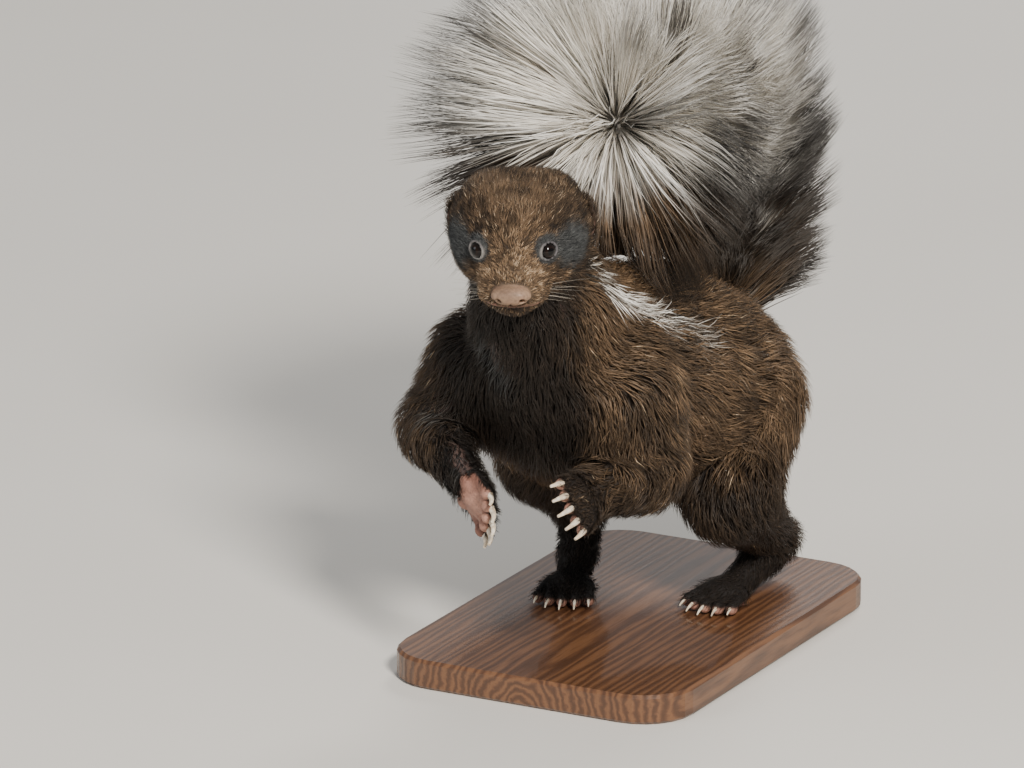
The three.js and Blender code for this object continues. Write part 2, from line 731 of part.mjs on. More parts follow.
// Rings of locks round the tail between two shares of its length
function tailRings({ from, to, rings, locks, random }) {
  const all = [];
  for (let ring = 0; ring < rings; ring++)
    for (let i = 0; i < locks; i++) {
      const share = clamp(lerp(from, to, (ring + 0.5) / rings) + 0.02 * random(), 0, 1);
      const angle = ((i + (ring % 2) / 2) / locks) * Math.PI * 2;
      const under = Math.max(0, -Math.sin(angle));
      const plainLean = degrees(valueAt(TAIL.lean, share) + 7 * random());
      const lean = plainLean * (1 - TAIL.under.lean * under);
      const reach = valueAt(TAIL.reach, share) * (1 + TAIL.under.reach * under + 0.07 * random());
      const length = reach / Math.cos(lean) - valueAt(TAIL.core, share) * 0.7;
      all.push(tailLock({ share, angle, lean, length, random }));
    }
  return all;
}

// Locks that close the tail's tip, spread by the golden angle
function tailCap(random) {
  const { locks, lean, length } = TAIL_CAP;
  return Array.from({ length: locks }, (_, i) =>
    tailLock({
      share: 1,
      angle: i * Math.PI * (3 - Math.sqrt(5)),
      lean: degrees(lerp(...lean, i / (locks - 1))),
      length: lerp(...length, i / (locks - 1)) * (1 + 0.08 * random()),
      random,
    }),
  );
}

const tailRandom = randomFrom(TAIL.seed);
const tailPlume = without(
  joined(
    tailPlumeCore,
    ...tailRings({
      from: TAIL.rootShare + 0.1,
      to: 1,
      rings: TAIL.rings,
      locks: TAIL.ringLocks,
      random: tailRandom,
    }),
    ...tailCap(tailRandom),
  ),
  grown(tailRootCore, GAP),
  grown(torsoCore, GAP),
  grown(neckWhole, GAP),
);
const tailRoot = without(
  joined(
    tailRootCore,
    ...tailRings({
      from: 0.02,
      to: TAIL.rootShare,
      rings: TAIL.rootRings,
      locks: TAIL.rootLocks,
      random: tailRandom,
    }),
  ),
  grown(torsoCore, GAP),
  ...around(tailPlume),
);

// Locks over the torso, in rows round it from the shoulders to the rump
function torsoLocks() {
  const random = randomFrom(COAT.seed);
  const all = [];
  const limbs = [...Object.values(forelegs), ...Object.values(hindlegs)];
  const covers = [...limbs.flatMap(({ fields }) => fields), neckWholeField];
  const { rows, round, from, to, halfTurn } = COAT;
  for (let row = 0; row < rows; row++)
    for (let i = 0; i < round; i++) {
      const y = lerp(from, to, row / (rows - 1)) + 4 * random();
      const centre = vec([0, y, lerp(125, 95, (y + 60) / 130)]);
      const side = (2 * (i + 0.25 + (row % 2) / 2)) / round - 1;
      const angle = halfTurn * side + 0.1 * random();
      const out = vec([Math.sin(angle), 0, Math.cos(angle)]);
      const root = surfacePoint(trunkCoreField, centre, out, 90);
      if (covers.some((field) => field(root) < 2)) continue;
      const lie = vec([0, 1, -0.55 * Math.abs(Math.sin(angle))]);
      all.push(bodyLock(trunkCoreField, root, lie, random));
    }
  return all;
}
const limbWholes = [...Object.values(forelegs), ...Object.values(hindlegs)]
  .flatMap(({ whole }) => whole)
  .map((geometry) => grown(geometry, GAP));
const torso = geometryOf(
  solidSum(torsoLocks())
    .subtract(solidSum([...limbWholes, ...around(neckWhole, tailRoot, tailPlume)]))
    .add(solidOf(torsoCore)),
);

// Base: a slab with round corners and a small edge bevel
function standBase() {
  const { width, length, height, corner, edge } = BASE;
  const [w, l] = [width / 2 - edge, length / 2 - edge];
  const plan = new THREE.Shape();
  plan.moveTo(w, -l + corner);
  plan.absarc(w - corner, l - corner, corner, 0, Math.PI / 2);
  plan.absarc(-w + corner, l - corner, corner, Math.PI / 2, Math.PI);
  plan.absarc(-w + corner, -l + corner, corner, Math.PI, Math.PI * 1.5);
  plan.absarc(w - corner, -l + corner, corner, Math.PI * 1.5, Math.PI * 2);
  const slab = bare(
    new THREE.ExtrudeGeometry(plan, {
      depth: height - 2 * edge,
      bevelThickness: edge,
      bevelSize: edge,
      bevelSegments: 1,
      curveSegments: 3,
    }),
  );
  return slab.translate(0, BASE.middle, edge - height);
}

// Materials
const paint = (colour, roughness) =>
  new THREE.MeshStandardMaterial({ color: colour, roughness, metalness: 0 });
const DARK_COAT = paint(0x33241d, 0.85);
const FACE_FUR = paint(0x7a5840, 0.9);
const TAIL_HAIR = paint(0xd8cdbb, 0.85);
const BARE_SKIN = paint(0x9a7566, 0.7);
const EYE_BLACK = paint(0x08070a, 0.1);
const WOOD = paint(0x6b4a31, 0.5);

// The model
const model = new THREE.Group();
const animal = new THREE.Group();
animal.position.set(0, -BASE.middle, BASE.height);
model.add(animal);

function place(name, geometry, material) {
  const mesh = new THREE.Mesh(geometry, material);
  mesh.name = name;
  animal.add(mesh);
}

place("stand_base", standBase(), WOOD);
place("torso", torso, DARK_COAT);
place("neck", neck, DARK_COAT);
place("head", head, FACE_FUR);
place("nose", nose, BARE_SKIN);
["left", "right"].forEach((side, i) => {
  place(`eye_${side}`, eyes[side].eye, EYE_BLACK);
  place(`ear_${side}`, ears[i].ear, DARK_COAT);
  place(`upper_foreleg_${side}`, forelegs[side].upper, DARK_COAT);
  place(`forearm_${side}`, forelegs[side].lower, DARK_COAT);
  place(`forepaw_${side}`, forelegs[side].end, BARE_SKIN);
  place(`thigh_${side}`, hindlegs[side].upper, DARK_COAT);
  place(`shank_${side}`, hindlegs[side].lower, DARK_COAT);
  place(`hindfoot_${side}`, hindlegs[side].end, DARK_COAT);
});
place("tail_root", tailRoot, DARK_COAT);
place("tail_plume", tailPlume, TAIL_HAIR);

export default model;
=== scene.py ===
# %% [markdown]
# A striped skunk in a low bound, with its tail arched over its back. This lesson dresses the
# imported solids: one skin, a coat of small solid tufts, eyes, claws, whiskers, a wooden base, a floor
# and studio light. The solids are loaded first, because every piece takes its place from them.

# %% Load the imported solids
import math

import bpy
import numpy as np
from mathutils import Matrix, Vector, kdtree


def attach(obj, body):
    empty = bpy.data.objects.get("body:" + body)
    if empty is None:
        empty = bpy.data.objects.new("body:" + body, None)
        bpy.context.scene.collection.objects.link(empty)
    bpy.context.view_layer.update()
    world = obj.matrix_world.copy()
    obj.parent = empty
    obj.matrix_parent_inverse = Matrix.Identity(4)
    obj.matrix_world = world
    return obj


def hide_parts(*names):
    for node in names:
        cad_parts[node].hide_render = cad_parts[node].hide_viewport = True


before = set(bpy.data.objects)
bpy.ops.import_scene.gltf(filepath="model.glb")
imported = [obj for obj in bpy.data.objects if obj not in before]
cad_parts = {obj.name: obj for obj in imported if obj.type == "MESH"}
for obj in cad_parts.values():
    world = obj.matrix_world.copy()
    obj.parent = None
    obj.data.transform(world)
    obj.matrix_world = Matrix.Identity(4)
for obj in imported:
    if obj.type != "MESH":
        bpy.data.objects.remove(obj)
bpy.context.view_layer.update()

# %% [markdown]
# The animal is described in millimetres from the middle of the base's top, as its solids are. The same
# named sizes come back here: the head, the trunk's swellings, each limb's joints, and the tail's line.
# Working in the animal's own points keeps every number a size that could be measured on it.

# %% Sizes of the animal
MM = 0.001
TO_FRAME = np.array([0, -6, 14])

HEAD = {"centre": (6, -118, 212), "yaw": 22, "pitch": -16, "roll": 1}
EYE = {"radius": 4.1, "depth": 2.5, "aim": (0.72, 0.66, 0.2), "from": (8, 2.5, 4.5),
       "bulge_out": 1.1, "bulge_share": 0.78, "iris": 3.4}
EAR = {"at": (-10, 27, 4), "half": (9.5, 5.2, 12), "cup": 0.78, "aim": (0.55, 0.83, 0.12)}
NOSE = {"at": (36.8, 0, -6.2), "half": (5, 9, 4.4)}
MOUTH = {"front": 34, "level": -12.8, "curve": 0.1, "back": 13.5, "depth": 2.6, "slit": 0.5}
TRUNK = {
    "rump": ((0, 60, 96), (49, 48, 49)),
    "loin": ((0, 22, 108), (52, 54, 54)),
    "ribs": ((0, -25, 121), (50, 54, 54)),
    "chest": ((1, -60, 134), (42, 36, 48)),
    "shoulder_left": ((30, -60, 126), (19, 25, 31)),
    "shoulder_right": ((-31, -60, 126), (19, 25, 31)),
}
NECK = {"from": (2, -72, 148), "to": (5, -104, 196), "radii": (41, 30)}
TRUNK_ROUNDING = 18
NECK_ROUNDING = 13
FORELEGS = {
    "left": {
        "points": ((33, -66, 128), (39, -57, 91), (27, -91, 88)),
        "radii": (24, 18, 12.5),
        "forward": (0.28, -0.95, 0.12),
        "palm": (-0.8, -0.2, -0.42),
    },
    "right": {
        "points": ((-39, -71, 137), (-59, -78, 103), (-28, -108, 94)),
        "radii": (25, 16.5, 10),
        "forward": (0.77, -0.49, -0.41),
        "palm": (-0.5, -0.8, -0.12),
    },
}
HINDLEGS = {
    "left": {
        "points": ((27, 58, 90), (42, 22, 58), (38, 80, 20)),
        "radii": (34, 22, 11.5),
        "toe": (33, 20, 5),
    },
    "right": {
        "points": ((-27, 58, 90), (-43, -2, 72), (-44, 40, 33)),
        "radii": (34, 22, 11.5),
        "toe": (-31, -4, 5),
    },
}
TAIL = {
    "path": ((0, 82, 104), (0, 106, 144), (-2, 105, 184), (-4, 80, 218), (-6, 39, 233), (-8, -1, 235)),
    "flesh": (10, 5),
    "reach": (27, 44, 67, 86, 92),
    "lean": (50, 52, 47, 38, 28),
    "under_reach": -0.08,
    "under_lean": 0.4,
    "cap_lean": (34, 84),
    "cap_length": (96, 44),
}
TAIL_LENGTH = 245
FOREPAW = {"length": 27, "width": 23, "claw": {"length": 11, "radius": 1.9, "tip": 0.36}}
HINDPAW = {"length": 27, "width": 24, "claw": {"length": 7, "radius": 1.4, "tip": 0.22}}
SIDES = {"left": 1, "right": -1}

# %% [markdown]
# Flesh has no corners, so each form is a field: a formula for the rough distance from its surface,
# negative inside. Balls and tapered bones are enough for a body, and a rounded union melts them into
# one another, which polygons joined by hand never do so evenly. The formulas take whole arrays of
# points at once, so numpy works out a million points in a second or two.

# %% Fields: rough distances from simple forms
def unit(v):
    """Vectors of length one, or zero where there is no direction."""
    v = np.asarray(v, float)
    return v / np.maximum(np.linalg.norm(v, axis=-1, keepdims=True), 1e-12)


def dot(a, b):
    return np.sum(a * b, axis=-1, keepdims=True)


def mix(a, b, t):
    return a + (b - a) * t


def smooth(low, high, x):
    t = np.clip((x - low) / (high - low), 0, 1)
    return t * t * (3 - 2 * t)


def ball(centre, half, axes=np.eye(3)):
    centre, half = np.array(centre, float), np.array(half, float)

    def field(p):
        q = (p - centre) @ np.transpose(axes) / half
        share = np.linalg.norm(q, axis=1)
        slope = np.linalg.norm(q / half, axis=1)
        return share * (share - 1) / np.maximum(slope, 1e-9)

    return field


def bone(start, end, start_radius, end_radius):
    start, end = np.array(start, float), np.array(end, float)
    along = end - start

    def field(p):
        t = np.clip((p - start) @ along / (along @ along), 0, 1)
        away = p - start - t[:, None] * along
        return np.linalg.norm(away, axis=1) - mix(start_radius, end_radius, t)

    return field


def rounded_min(a, b, width):
    h = np.maximum(width - np.abs(a - b), 0) / width
    return np.minimum(a, b) - h * h * width / 4


def blend(width, *fields):
    def field(p):
        found = fields[0](p)
        for other in fields[1:]:
            found = rounded_min(found, other(p), width)
        return found

    return field


def carved(width, whole, *cuts):
    def field(p):
        found = whole(p)
        for cut in cuts:
            found = -rounded_min(-found, cut(p), width)
        return found

    return field


def inset(field, depth):
    return lambda p: field(p) + depth


def slope(field, p, step=0.25):
    """The unit directions in which a field grows fastest at the points p."""
    rise = [field(p + step * axis) - field(p - step * axis) for axis in np.eye(3)]
    return unit(np.stack(rise, axis=1))


# %% [markdown]
# The head has axes of its own: forward along the muzzle, left, and up through the crown. It is turned
# towards the viewer and bowed, so its forms are written in these axes and turned with them.

# %% The head's axes
def head_axes():
    yaw, pitch, roll = (math.radians(HEAD[turn]) for turn in ("yaw", "pitch", "roll"))
    forward = np.array([math.sin(yaw) * math.cos(pitch), -math.cos(yaw) * math.cos(pitch), math.sin(pitch)])
    level = np.array([math.cos(yaw), math.sin(yaw), 0])
    left = level * math.cos(roll) + np.cross(forward, level) * math.sin(roll)
    return np.stack([forward, left, np.cross(forward, left)])


AXES = head_axes()


def from_head(place):
    return np.asarray(place, float) @ AXES + HEAD["centre"]


def to_head(p):
    return (p - HEAD["centre"]) @ AXES.T


def head_ball(place, half):
    return ball(from_head(place), half, AXES)


print("the muzzle points along", AXES[0].round(2))

# %% [markdown]
# The solid head is repeated first, because the eyes take their places from its surface. The skin's head
# is the same set of forms, drawn in by the depth of the short face fur, with the smaller forms that a
# face needs: whisker pads, the fold over each eye, nostrils, lips and a groove under the nose. Sculpting
# would give them too, but each form here stays a number that can be measured and changed.

# %% Head, eyes and their lids
def head_form(depth):
    sides = SIDES.values()
    return blend(
        9,
        head_ball((-5, 0, 3), (30 - depth, 29 - depth, 23.5 - depth)),
        head_ball((8, 0, 5), (22 - depth, 21 - depth, 16 - depth)),
        *[head_ball((-8, 13 * side, 6.5), (22 - depth, 16 - depth, 17.5 - depth)) for side in sides],
        *[head_ball((-4, 15 * side, -5), (20 - depth, 12 - depth, 14 - depth)) for side in sides],
        *[bone(from_head((4, 3 * side, -2)), from_head((25.5, 4.8 * side, -7)), 16 - depth, 10.6 - depth)
          for side in sides],
        bone(from_head((2, 0, -12)), from_head((24, 0, -13)), 12 - depth, 7.5 - depth * 0.6),
    )


FACE_DEPTH = 1.4
head_solid = head_form(0)


def surface_point(field, start, direction, reach=60):
    inside, outside = 0.0, reach
    for _ in range(24):
        middle = (inside + outside) / 2
        if field((start + direction * middle)[None])[0] < 0:
            inside = middle
        else:
            outside = middle
    return start + direction * inside


LID = {"ring": 3.95, "tube": 0.85, "front": 1.8, "wide": 1.08, "high": 0.95, "fold": 2.3, "fold_tube": 0.42}


class Eye:
    """An eye's place, and the three directions of its lids: out, towards the nose, and up."""

    def __init__(self, side):
        aim = np.array(EYE["aim"]) * (1, side, 1)
        start = np.array(EYE["from"]) * (1, side, 1)
        self.out = unit(aim) @ AXES
        surface = surface_point(head_solid, from_head(start), self.out)
        self.centre = surface - self.out * EYE["depth"]
        self.up = unit(AXES[2] - self.out * (AXES[2] @ self.out))
        self.across = np.cross(self.up, self.out)

    def local(self, p):
        return (p - self.centre) @ np.stack([self.out, self.across, self.up]).T

    def out_and_around(self, p):
        """How far points stand out of the eye, and how far from its middle, in the oval of its lids."""
        out, across, up = self.local(p).T
        return out, np.hypot(across / LID["wide"], up / LID["high"])


eyes = {name: Eye(side) for name, side in SIDES.items()}
apart = np.linalg.norm(eyes["left"].centre - eyes["right"].centre)
print("the eyes are", round(apart, 1), "mm apart")


def lid_ring(eye):
    """The lids: a soft ring round the eye."""
    def field(p):
        out, around = eye.out_and_around(p)
        return np.hypot(around - LID["ring"], (out - LID["front"]) * 0.9) - LID["tube"]

    return field


def lid_fold(eye):
    """A shallow crease over and under the lids."""
    def field(p):
        out, around = eye.out_and_around(p)
        around = around - LID["ring"] - LID["fold"]
        return np.hypot(around, (out - LID["front"]) * 0.6) - LID["fold_tube"]

    return field


def mouth_line(p):
    """A thin slit round the muzzle, at the level of the lips."""
    f, l, u = to_head(p).T
    edge = MOUTH["front"] - MOUTH["curve"] * l**2
    level = MOUTH["level"] + 0.02 * l**2 - 0.8 * smooth(22, 14, f)
    slab = np.abs(u - level) - MOUTH["slit"] * smooth(11, 18, f)
    return np.maximum.reduce([slab, edge - MOUTH["depth"] - f, MOUTH["back"] - f])


def nostril(side):
    """A round opening with a slit that runs back along the side of the nose."""
    x, _, z = NOSE["at"]

    def at(ahead, aside, below):
        return from_head((x + ahead, aside * side, z - below))

    opening = bone(at(0.8, 4.2, 0.8), at(6.0, 6.4, 1.4), 1.35, 1.5)
    slit = bone(at(2.4, 6.6, 1.6), at(-1.4, 9.8, 2.2), 0.7, 0.55)
    return blend(0.8, opening, slit)


nose_pad = head_ball(NOSE["at"], NOSE["half"])


def nose_groove(p):
    """The groove from the nose down to the lips."""
    f, l, u = to_head(p).T
    return np.maximum.reduce([np.abs(l) - 0.35, 34 - f, u + 8.2, -13.5 - u]) * 0.8


whisker_pads = [head_ball((26.5, 8.4 * side, -10.4), (7.4, 6, 4.8)) for side in SIDES.values()]
chin = head_ball((26.5, 0, -16), (6, 7, 3.6))
brows = [head_ball((15, 12 * side, 11.8), (7, 5, 3.4)) for side in SIDES.values()]
sockets = [ball(eye.centre + eye.out * 9.2, (7.4, 7.4, 7.4)) for eye in eyes.values()]

face = blend(3.5, head_form(FACE_DEPTH), *whisker_pads, chin, *brows)
face = carved(3.0, face, *sockets)
face = blend(1.2, face, nose_pad, *[lid_ring(eye) for eye in eyes.values()])
nostrils = [nostril(side) for side in SIDES.values()]
folds = [lid_fold(eye) for eye in eyes.values()]
face = carved(0.5, face, mouth_line, nose_groove, *nostrils, *folds)

# %% [markdown]
# An ear is a small cup: a flat ball with a smaller one taken out of its mouth. Inside, a ridge runs up
# from the opening, as in any carnivore's ear. A bent sheet with a thickness could make the cup as well,
# but it would have to be stitched to the head, and a field melts into it by itself.

# %% Ears
class Ear:
    def __init__(self, side):
        self.aim = unit(np.array(EAR["aim"]) * (1, side, 1)) @ AXES
        self.up = unit(AXES[2] - self.aim * (AXES[2] @ self.aim))
        self.across = np.cross(self.aim, self.up)
        self.centre = from_head(np.array(EAR["at"]) * (1, side, 1))
        self.axes = np.stack([self.across, self.aim, self.up])
        half = np.array(EAR["half"]) - 0.3
        mouth = self.centre + self.aim * EAR["half"][1] * 0.8
        self.cup = ball(mouth, half * EAR["cup"], self.axes)
        ridge = bone(self.centre - self.up * 6, self.centre + self.up * 2 + self.aim * 1.5, 1.6, 0.9)
        self.field = blend(1.0, carved(0.8, ball(self.centre, half, self.axes), self.cup), ridge)


ears = {name: Ear(side) for name, side in SIDES.items()}
print("each ear is", 2 * EAR["half"][2], "mm high and", 2 * EAR["half"][0], "mm wide")

# %% [markdown]
# A paw is a palm, five toes with a pad under each, and claws. forward runs out along the toes, palm is
# the way that the sole faces, and the toes spread across. The four paws come from one class, as they
# differ only in size and direction, and a hind foot adds an instep. Toes pulled out of one block would
# need loops of faces at each joint, and here a rounded union makes the webs between them.

# %% Paws
class Paw:
    """A paw's directions, its field, its pads, and where each toe ends."""

    def __init__(self, wrist, forward, palm, length, width, claw):
        self.forward = self.hair_lie = unit(forward)
        palm = np.array(palm, float)
        self.palm = unit(palm - self.forward * (palm @ self.forward))
        self.across = np.cross(self.palm, self.forward)
        self.claw = claw
        axes = np.stack([self.forward, self.across, self.palm])
        self.middle = np.array(wrist) + self.forward * 0.3 * length
        fields = [ball(self.middle, (length * 0.42, width * 0.44, width * 0.27), axes)]
        self.pads = []
        self.toes = []
        for toe in range(-2, 3):
            reach = 1 - 0.055 * toe**2
            direction = unit(self.forward + self.across * toe * 0.09)
            root = self.middle + self.across * toe * width * 0.2
            end = root + direction * length * 0.62 * reach + self.palm * width * 0.06
            fields.append(bone(root, end, width * 0.12, width * 0.1))
            pad_half = (width * 0.13, width * 0.1, width * 0.09)
            self.pads.append(ball(end + self.palm * width * 0.07, pad_half, axes))
            self.toes.append((end + direction * width * 0.02, direction, reach))
        heel = self.middle - self.forward * length * 0.12
        for side in (-1, 0, 1):
            place = heel + self.across * side * width * 0.24 + self.palm * width * 0.2
            place = place + self.forward * length * (0.12 if side == 0 else 0.04)
            self.pads.append(ball(place, (length * 0.15, width * 0.15, width * 0.1), axes))
        self.field = blend(1.4, blend(2.2, *fields), *self.pads)


def forepaw(leg):
    forward = unit(leg["forward"])
    wrist = np.array(leg["points"][2]) + forward * 5
    return Paw(wrist, forward, leg["palm"], **FOREPAW)


class HindFoot(Paw):
    """A paw flat on its sole, with an instep that joins it to the raised ankle."""

    def __init__(self, leg):
        ankle, toe = np.array(leg["points"][2], float), np.array(leg["toe"], float)
        level = unit((toe - ankle) * (1, 1, 0))
        heel = mix(ankle, toe, 0.22)
        heel[2] = min(ankle[2] - 6, 15)
        ball_of_foot = toe - 22 * level
        ball_of_foot[2] = 6
        super().__init__(ball_of_foot, level, (0, 0, -1), **HINDPAW)
        self.hair_lie = self.forward - (0, 0, 0.3)
        instep = blend(6, bone(ankle, heel, 9.5, 7.8), bone(heel, ball_of_foot, 7.8, 7.0))
        whole = blend(3, instep, self.field)
        self.field = lambda p: np.maximum(whole(p), 0.3 - p[:, 2])


forepaws = {name: forepaw(leg) for name, leg in FORELEGS.items()}
hindfeet = {name: HindFoot(leg) for name, leg in HINDLEGS.items()}
all_paws = [*forepaws.values(), *hindfeet.values()]
print("toes:", sum(len(paw.toes) for paw in all_paws))

# %% [markdown]
# The tail's bone follows a curve through six points. Its flesh is only as thick as a finger, and all
# the rest of a skunk's tail is hair, so the skin there is a thin tube that the long strands grow from.

# %% The tail's line
def curve_through(points, count):
    """Points on a Catmull-Rom curve, evenly spaced along it."""
    p = np.array(points, float)
    p = np.vstack([2 * p[0] - p[1], p, 2 * p[-1] - p[-2]])
    fine = []
    for i in range(1, len(p) - 2):
        t = np.linspace(0, 1, 60, endpoint=False)[:, None]
        a, b, c, d = p[i - 1 : i + 3]
        bend = (2 * a - 5 * b + 4 * c - d) * t**2
        twist = (3 * b - a - 3 * c + d) * t**3
        fine.append(0.5 * (2 * b + (c - a) * t + bend + twist))
    fine = np.vstack([*fine, p[-2][None]])
    run = np.concatenate([[0], np.cumsum(np.linalg.norm(np.diff(fine, axis=0), axis=1))])
    even = np.linspace(0, run[-1], count)
    return np.stack([np.interp(even, run, fine[:, n]) for n in range(3)], axis=1)


tail_line = curve_through(TAIL["path"], 121)
tail_joints = tail_line[::8]
tail_radii = mix(*TAIL["flesh"], np.linspace(0, 1, len(tail_joints)))
tail_flesh = blend(
    2,
    *[bone(*tail_joints[i : i + 2], *tail_radii[i : i + 2]) for i in range(len(tail_joints) - 1)],
)
print("the tail's flesh is made of", len(tail_joints) - 1, "tapered bones")

# %% [markdown]
# The coat has a different depth, length and lie in each part of the body. Each part therefore holds its
# field, drawn in by its coat's depth, and how its hair grows. At any point the parts near it are
# weighed against each other, so that lengths and directions pass smoothly from one to the next.

# %% Parts of the body and how their hair grows
COAT_DEPTH = {"trunk": 5.5, "neck": 5, "upper_foreleg": 4.5, "forearm": 2.8, "thigh": 5, "shank": 3.5}
# A tuft's length, the height of its tip over the skin, and half its width.
GROWTH = {
    "trunk": (21, 6.2, 0.34),
    "neck": (14, 4.6, 0.3),
    "head": (4.6, 1.8, 0.15),
    "ear": (4.0, 1.2, 0.16),
    "upper_foreleg": (15, 5.0, 0.32),
    "forearm": (11, 3.2, 0.27),
    "forepaw": (6.0, 1.3, 0.18),
    "thigh": (18, 5.4, 0.34),
    "shank": (12, 3.8, 0.29),
    "hindfoot": (5, 1.2, 0.18),
}
LIMBS = (
    (("upper_foreleg", "forearm", "forepaw"), FORELEGS, forepaws),
    (("thigh", "shank", "hindfoot"), HINDLEGS, hindfeet),
)
trunk_form = blend(TRUNK_ROUNDING, *[ball(centre, half) for centre, half in TRUNK.values()])


def limb_fields(leg, upper_depth, lower_depth):
    a, b, c = leg["points"]
    ra, rb, rc = leg["radii"]
    upper = bone(a, b, ra - upper_depth, rb - upper_depth)
    lower = bone(b, c, rb * 0.94 - lower_depth, rc - lower_depth)
    return upper, lower


def along(start, end):
    direction = unit(np.array(end, float) - np.array(start, float))
    return lambda p: np.broadcast_to(direction, p.shape)


def trunk_lie(p):
    """Back along the body, and down its sides."""
    down = -0.62 * smooth(5, 48, np.abs(p[:, 0])) - 0.25 * smooth(110, 70, p[:, 2])
    return np.stack([0.1 * p[:, 0] / 50, np.ones(len(p)), down], axis=1)


def head_lie(p):
    """From the nose back over the crown, and down over the cheeks."""
    _, l, u = to_head(p).T
    local = np.stack([-np.ones(len(p)), 0.012 * l, 0.25 - 0.9 * smooth(2, -16, u)], axis=1)
    return local @ AXES


def ear_lie(ear):
    return lambda p: np.broadcast_to(unit(ear.up * 0.8 - ear.aim * 0.3), p.shape)


def kind_of(name):
    """A part's kind is its name without its side."""
    return name.removesuffix("_left").removesuffix("_right")


class Part:
    """A part's field, how its hair lies, and its tufts. The tail's hair has rules of its own."""

    def __init__(self, name, field, lie=None):
        self.name, self.field, self.lie = name, field, lie
        self.growth = GROWTH.get(kind_of(name))


def body_parts():
    neck_radii = [radius - COAT_DEPTH["neck"] for radius in NECK["radii"]]
    parts = [
        Part("trunk", inset(trunk_form, COAT_DEPTH["trunk"]), trunk_lie),
        Part("neck", bone(NECK["from"], NECK["to"], *neck_radii), along(NECK["to"], NECK["from"])),
        Part("head", face, head_lie),
    ]
    for side, ear in ears.items():
        parts.append(Part(f"ear_{side}", ear.field, ear_lie(ear)))
    for (upper, lower, end), legs, paws in LIMBS:
        for side, leg in legs.items():
            upper_field, lower_field = limb_fields(leg, COAT_DEPTH[upper], COAT_DEPTH[lower])
            a, b, c = leg["points"]
            parts.append(Part(f"{upper}_{side}", upper_field, along(a, b)))
            parts.append(Part(f"{lower}_{side}", lower_field, along(b, c)))
            parts.append(Part(f"{end}_{side}", paws[side].field, along((0, 0, 0), paws[side].hair_lie)))
    parts.append(Part("tail", tail_flesh))
    return {part.name: part for part in parts}


PARTS = body_parts()


def union_of(width, *kinds):
    """A rounded union of the parts of some kinds, left before right."""
    chosen = [part for kind in kinds for part in PARTS.values() if kind_of(part.name) == kind]
    return blend(width, *[part.field for part in chosen])


body = union_of(NECK_ROUNDING, "trunk", "neck", "upper_foreleg", "thigh")
body = blend(8, body, union_of(6, "shank"), union_of(2, "forearm"))
body = blend(10, body, PARTS["tail"].field)
body = blend(4, body, union_of(1, "forepaw", "hindfoot"))
skull = union_of(1.5, "head", "ear")
eyeballs = [ball(eye.centre, [EYE["radius"] + 0.12] * 3) for eye in eyes.values()]
skin_field = carved(0.3, blend(4, body, skull), *eyeballs)
print("parts:", ", ".join(PARTS))

# %% [markdown]
# Surface nets turn a field into a mesh: space is cut into small cells, and each cell that the surface
# crosses gets one point, joined to its neighbours. The head and paws need cells under a millimetre and
# the trunk doesn't, so the skin is netted in regions that overlap a little, and Boolean unions make
# them a single closed skin. The seams lie under the coat.

# %% Surface nets
# A first look at every fourth place finds the cells that are near enough for a closer one.
ROUGH = 4
NEARNESS = 1.8


def net(field, low, high, step):
    """Points and four-sided faces of a field's surface inside a box, closed at the box's sides."""
    axes = [np.arange(lo, hi + step, step) for lo, hi in zip(low, high)]
    shape = [len(a) for a in axes]

    def grid(places):
        return np.stack(np.meshgrid(*places, indexing="ij"), -1).reshape(-1, 3)

    rough = field(grid([a[::ROUGH] for a in axes])).reshape([len(a[::ROUGH]) for a in axes])
    values = rough
    for n in range(3):
        values = np.repeat(values, ROUGH, axis=n)
    values = values[: shape[0], : shape[1], : shape[2]].copy()
    near = np.abs(values) < ROUGH * step * NEARNESS
    values[near] = field(grid(axes)[near.ravel()])
    for n in range(3):
        rim = np.moveaxis(values, n, 0)
        rim[0] = np.maximum(rim[0], step / 4)
        rim[-1] = np.maximum(rim[-1], step / 4)

    inside = values < 0
    cells = tuple(n - 1 for n in shape)
    total = np.zeros(cells + (3,))
    count = np.zeros(cells)
    for axis in range(3):
        for corner in ((0, 0), (0, 1), (1, 0), (1, 1)):
            start = np.insert(np.array(corner), axis, 0)
            end = start + np.eye(3, dtype=int)[axis]
            a = values[tuple(slice(s, s + c) for s, c in zip(start, cells))]
            b = values[tuple(slice(s, s + c) for s, c in zip(end, cells))]
            crossing = (a < 0) != (b < 0)
            place = np.where(crossing, a / np.where(crossing, a - b, 1), 0)
            total[..., axis] += place
            total += crossing[..., None] * start
            count += crossing
    used = count > 0
    index = np.full(cells, -1)
    index[used] = np.arange(used.sum())
    points = np.array(low) + (np.argwhere(used) + total[used] / count[used][:, None]) * step

    faces = []
    for axis in range(3):
        across, over = np.eye(3, dtype=int)[(axis + 1) % 3], np.eye(3, dtype=int)[(axis + 2) % 3]
        here = np.moveaxis(inside, axis, 0)
        crossing = np.moveaxis(here[:-1] != here[1:], 0, axis)
        spot = np.argwhere(crossing)
        around = ((0, 0), (1, 0), (1, 1), (0, 1))
        cell = [index[tuple((spot - m * across - n * over).T)] for m, n in around]
        quads = np.stack(cell, axis=1)
        outward = inside[tuple(spot.T)]
        quads[~outward] = quads[~outward][:, ::-1]
        faces.append(quads)
    return points, np.concatenate(faces)


def settled(points, field):
    """Points drawn onto a field's surface in two small moves."""
    for _ in range(2):
        points = points - slope(field, points) * np.clip(field(points), -0.4, 0.4)[:, None]
    return points


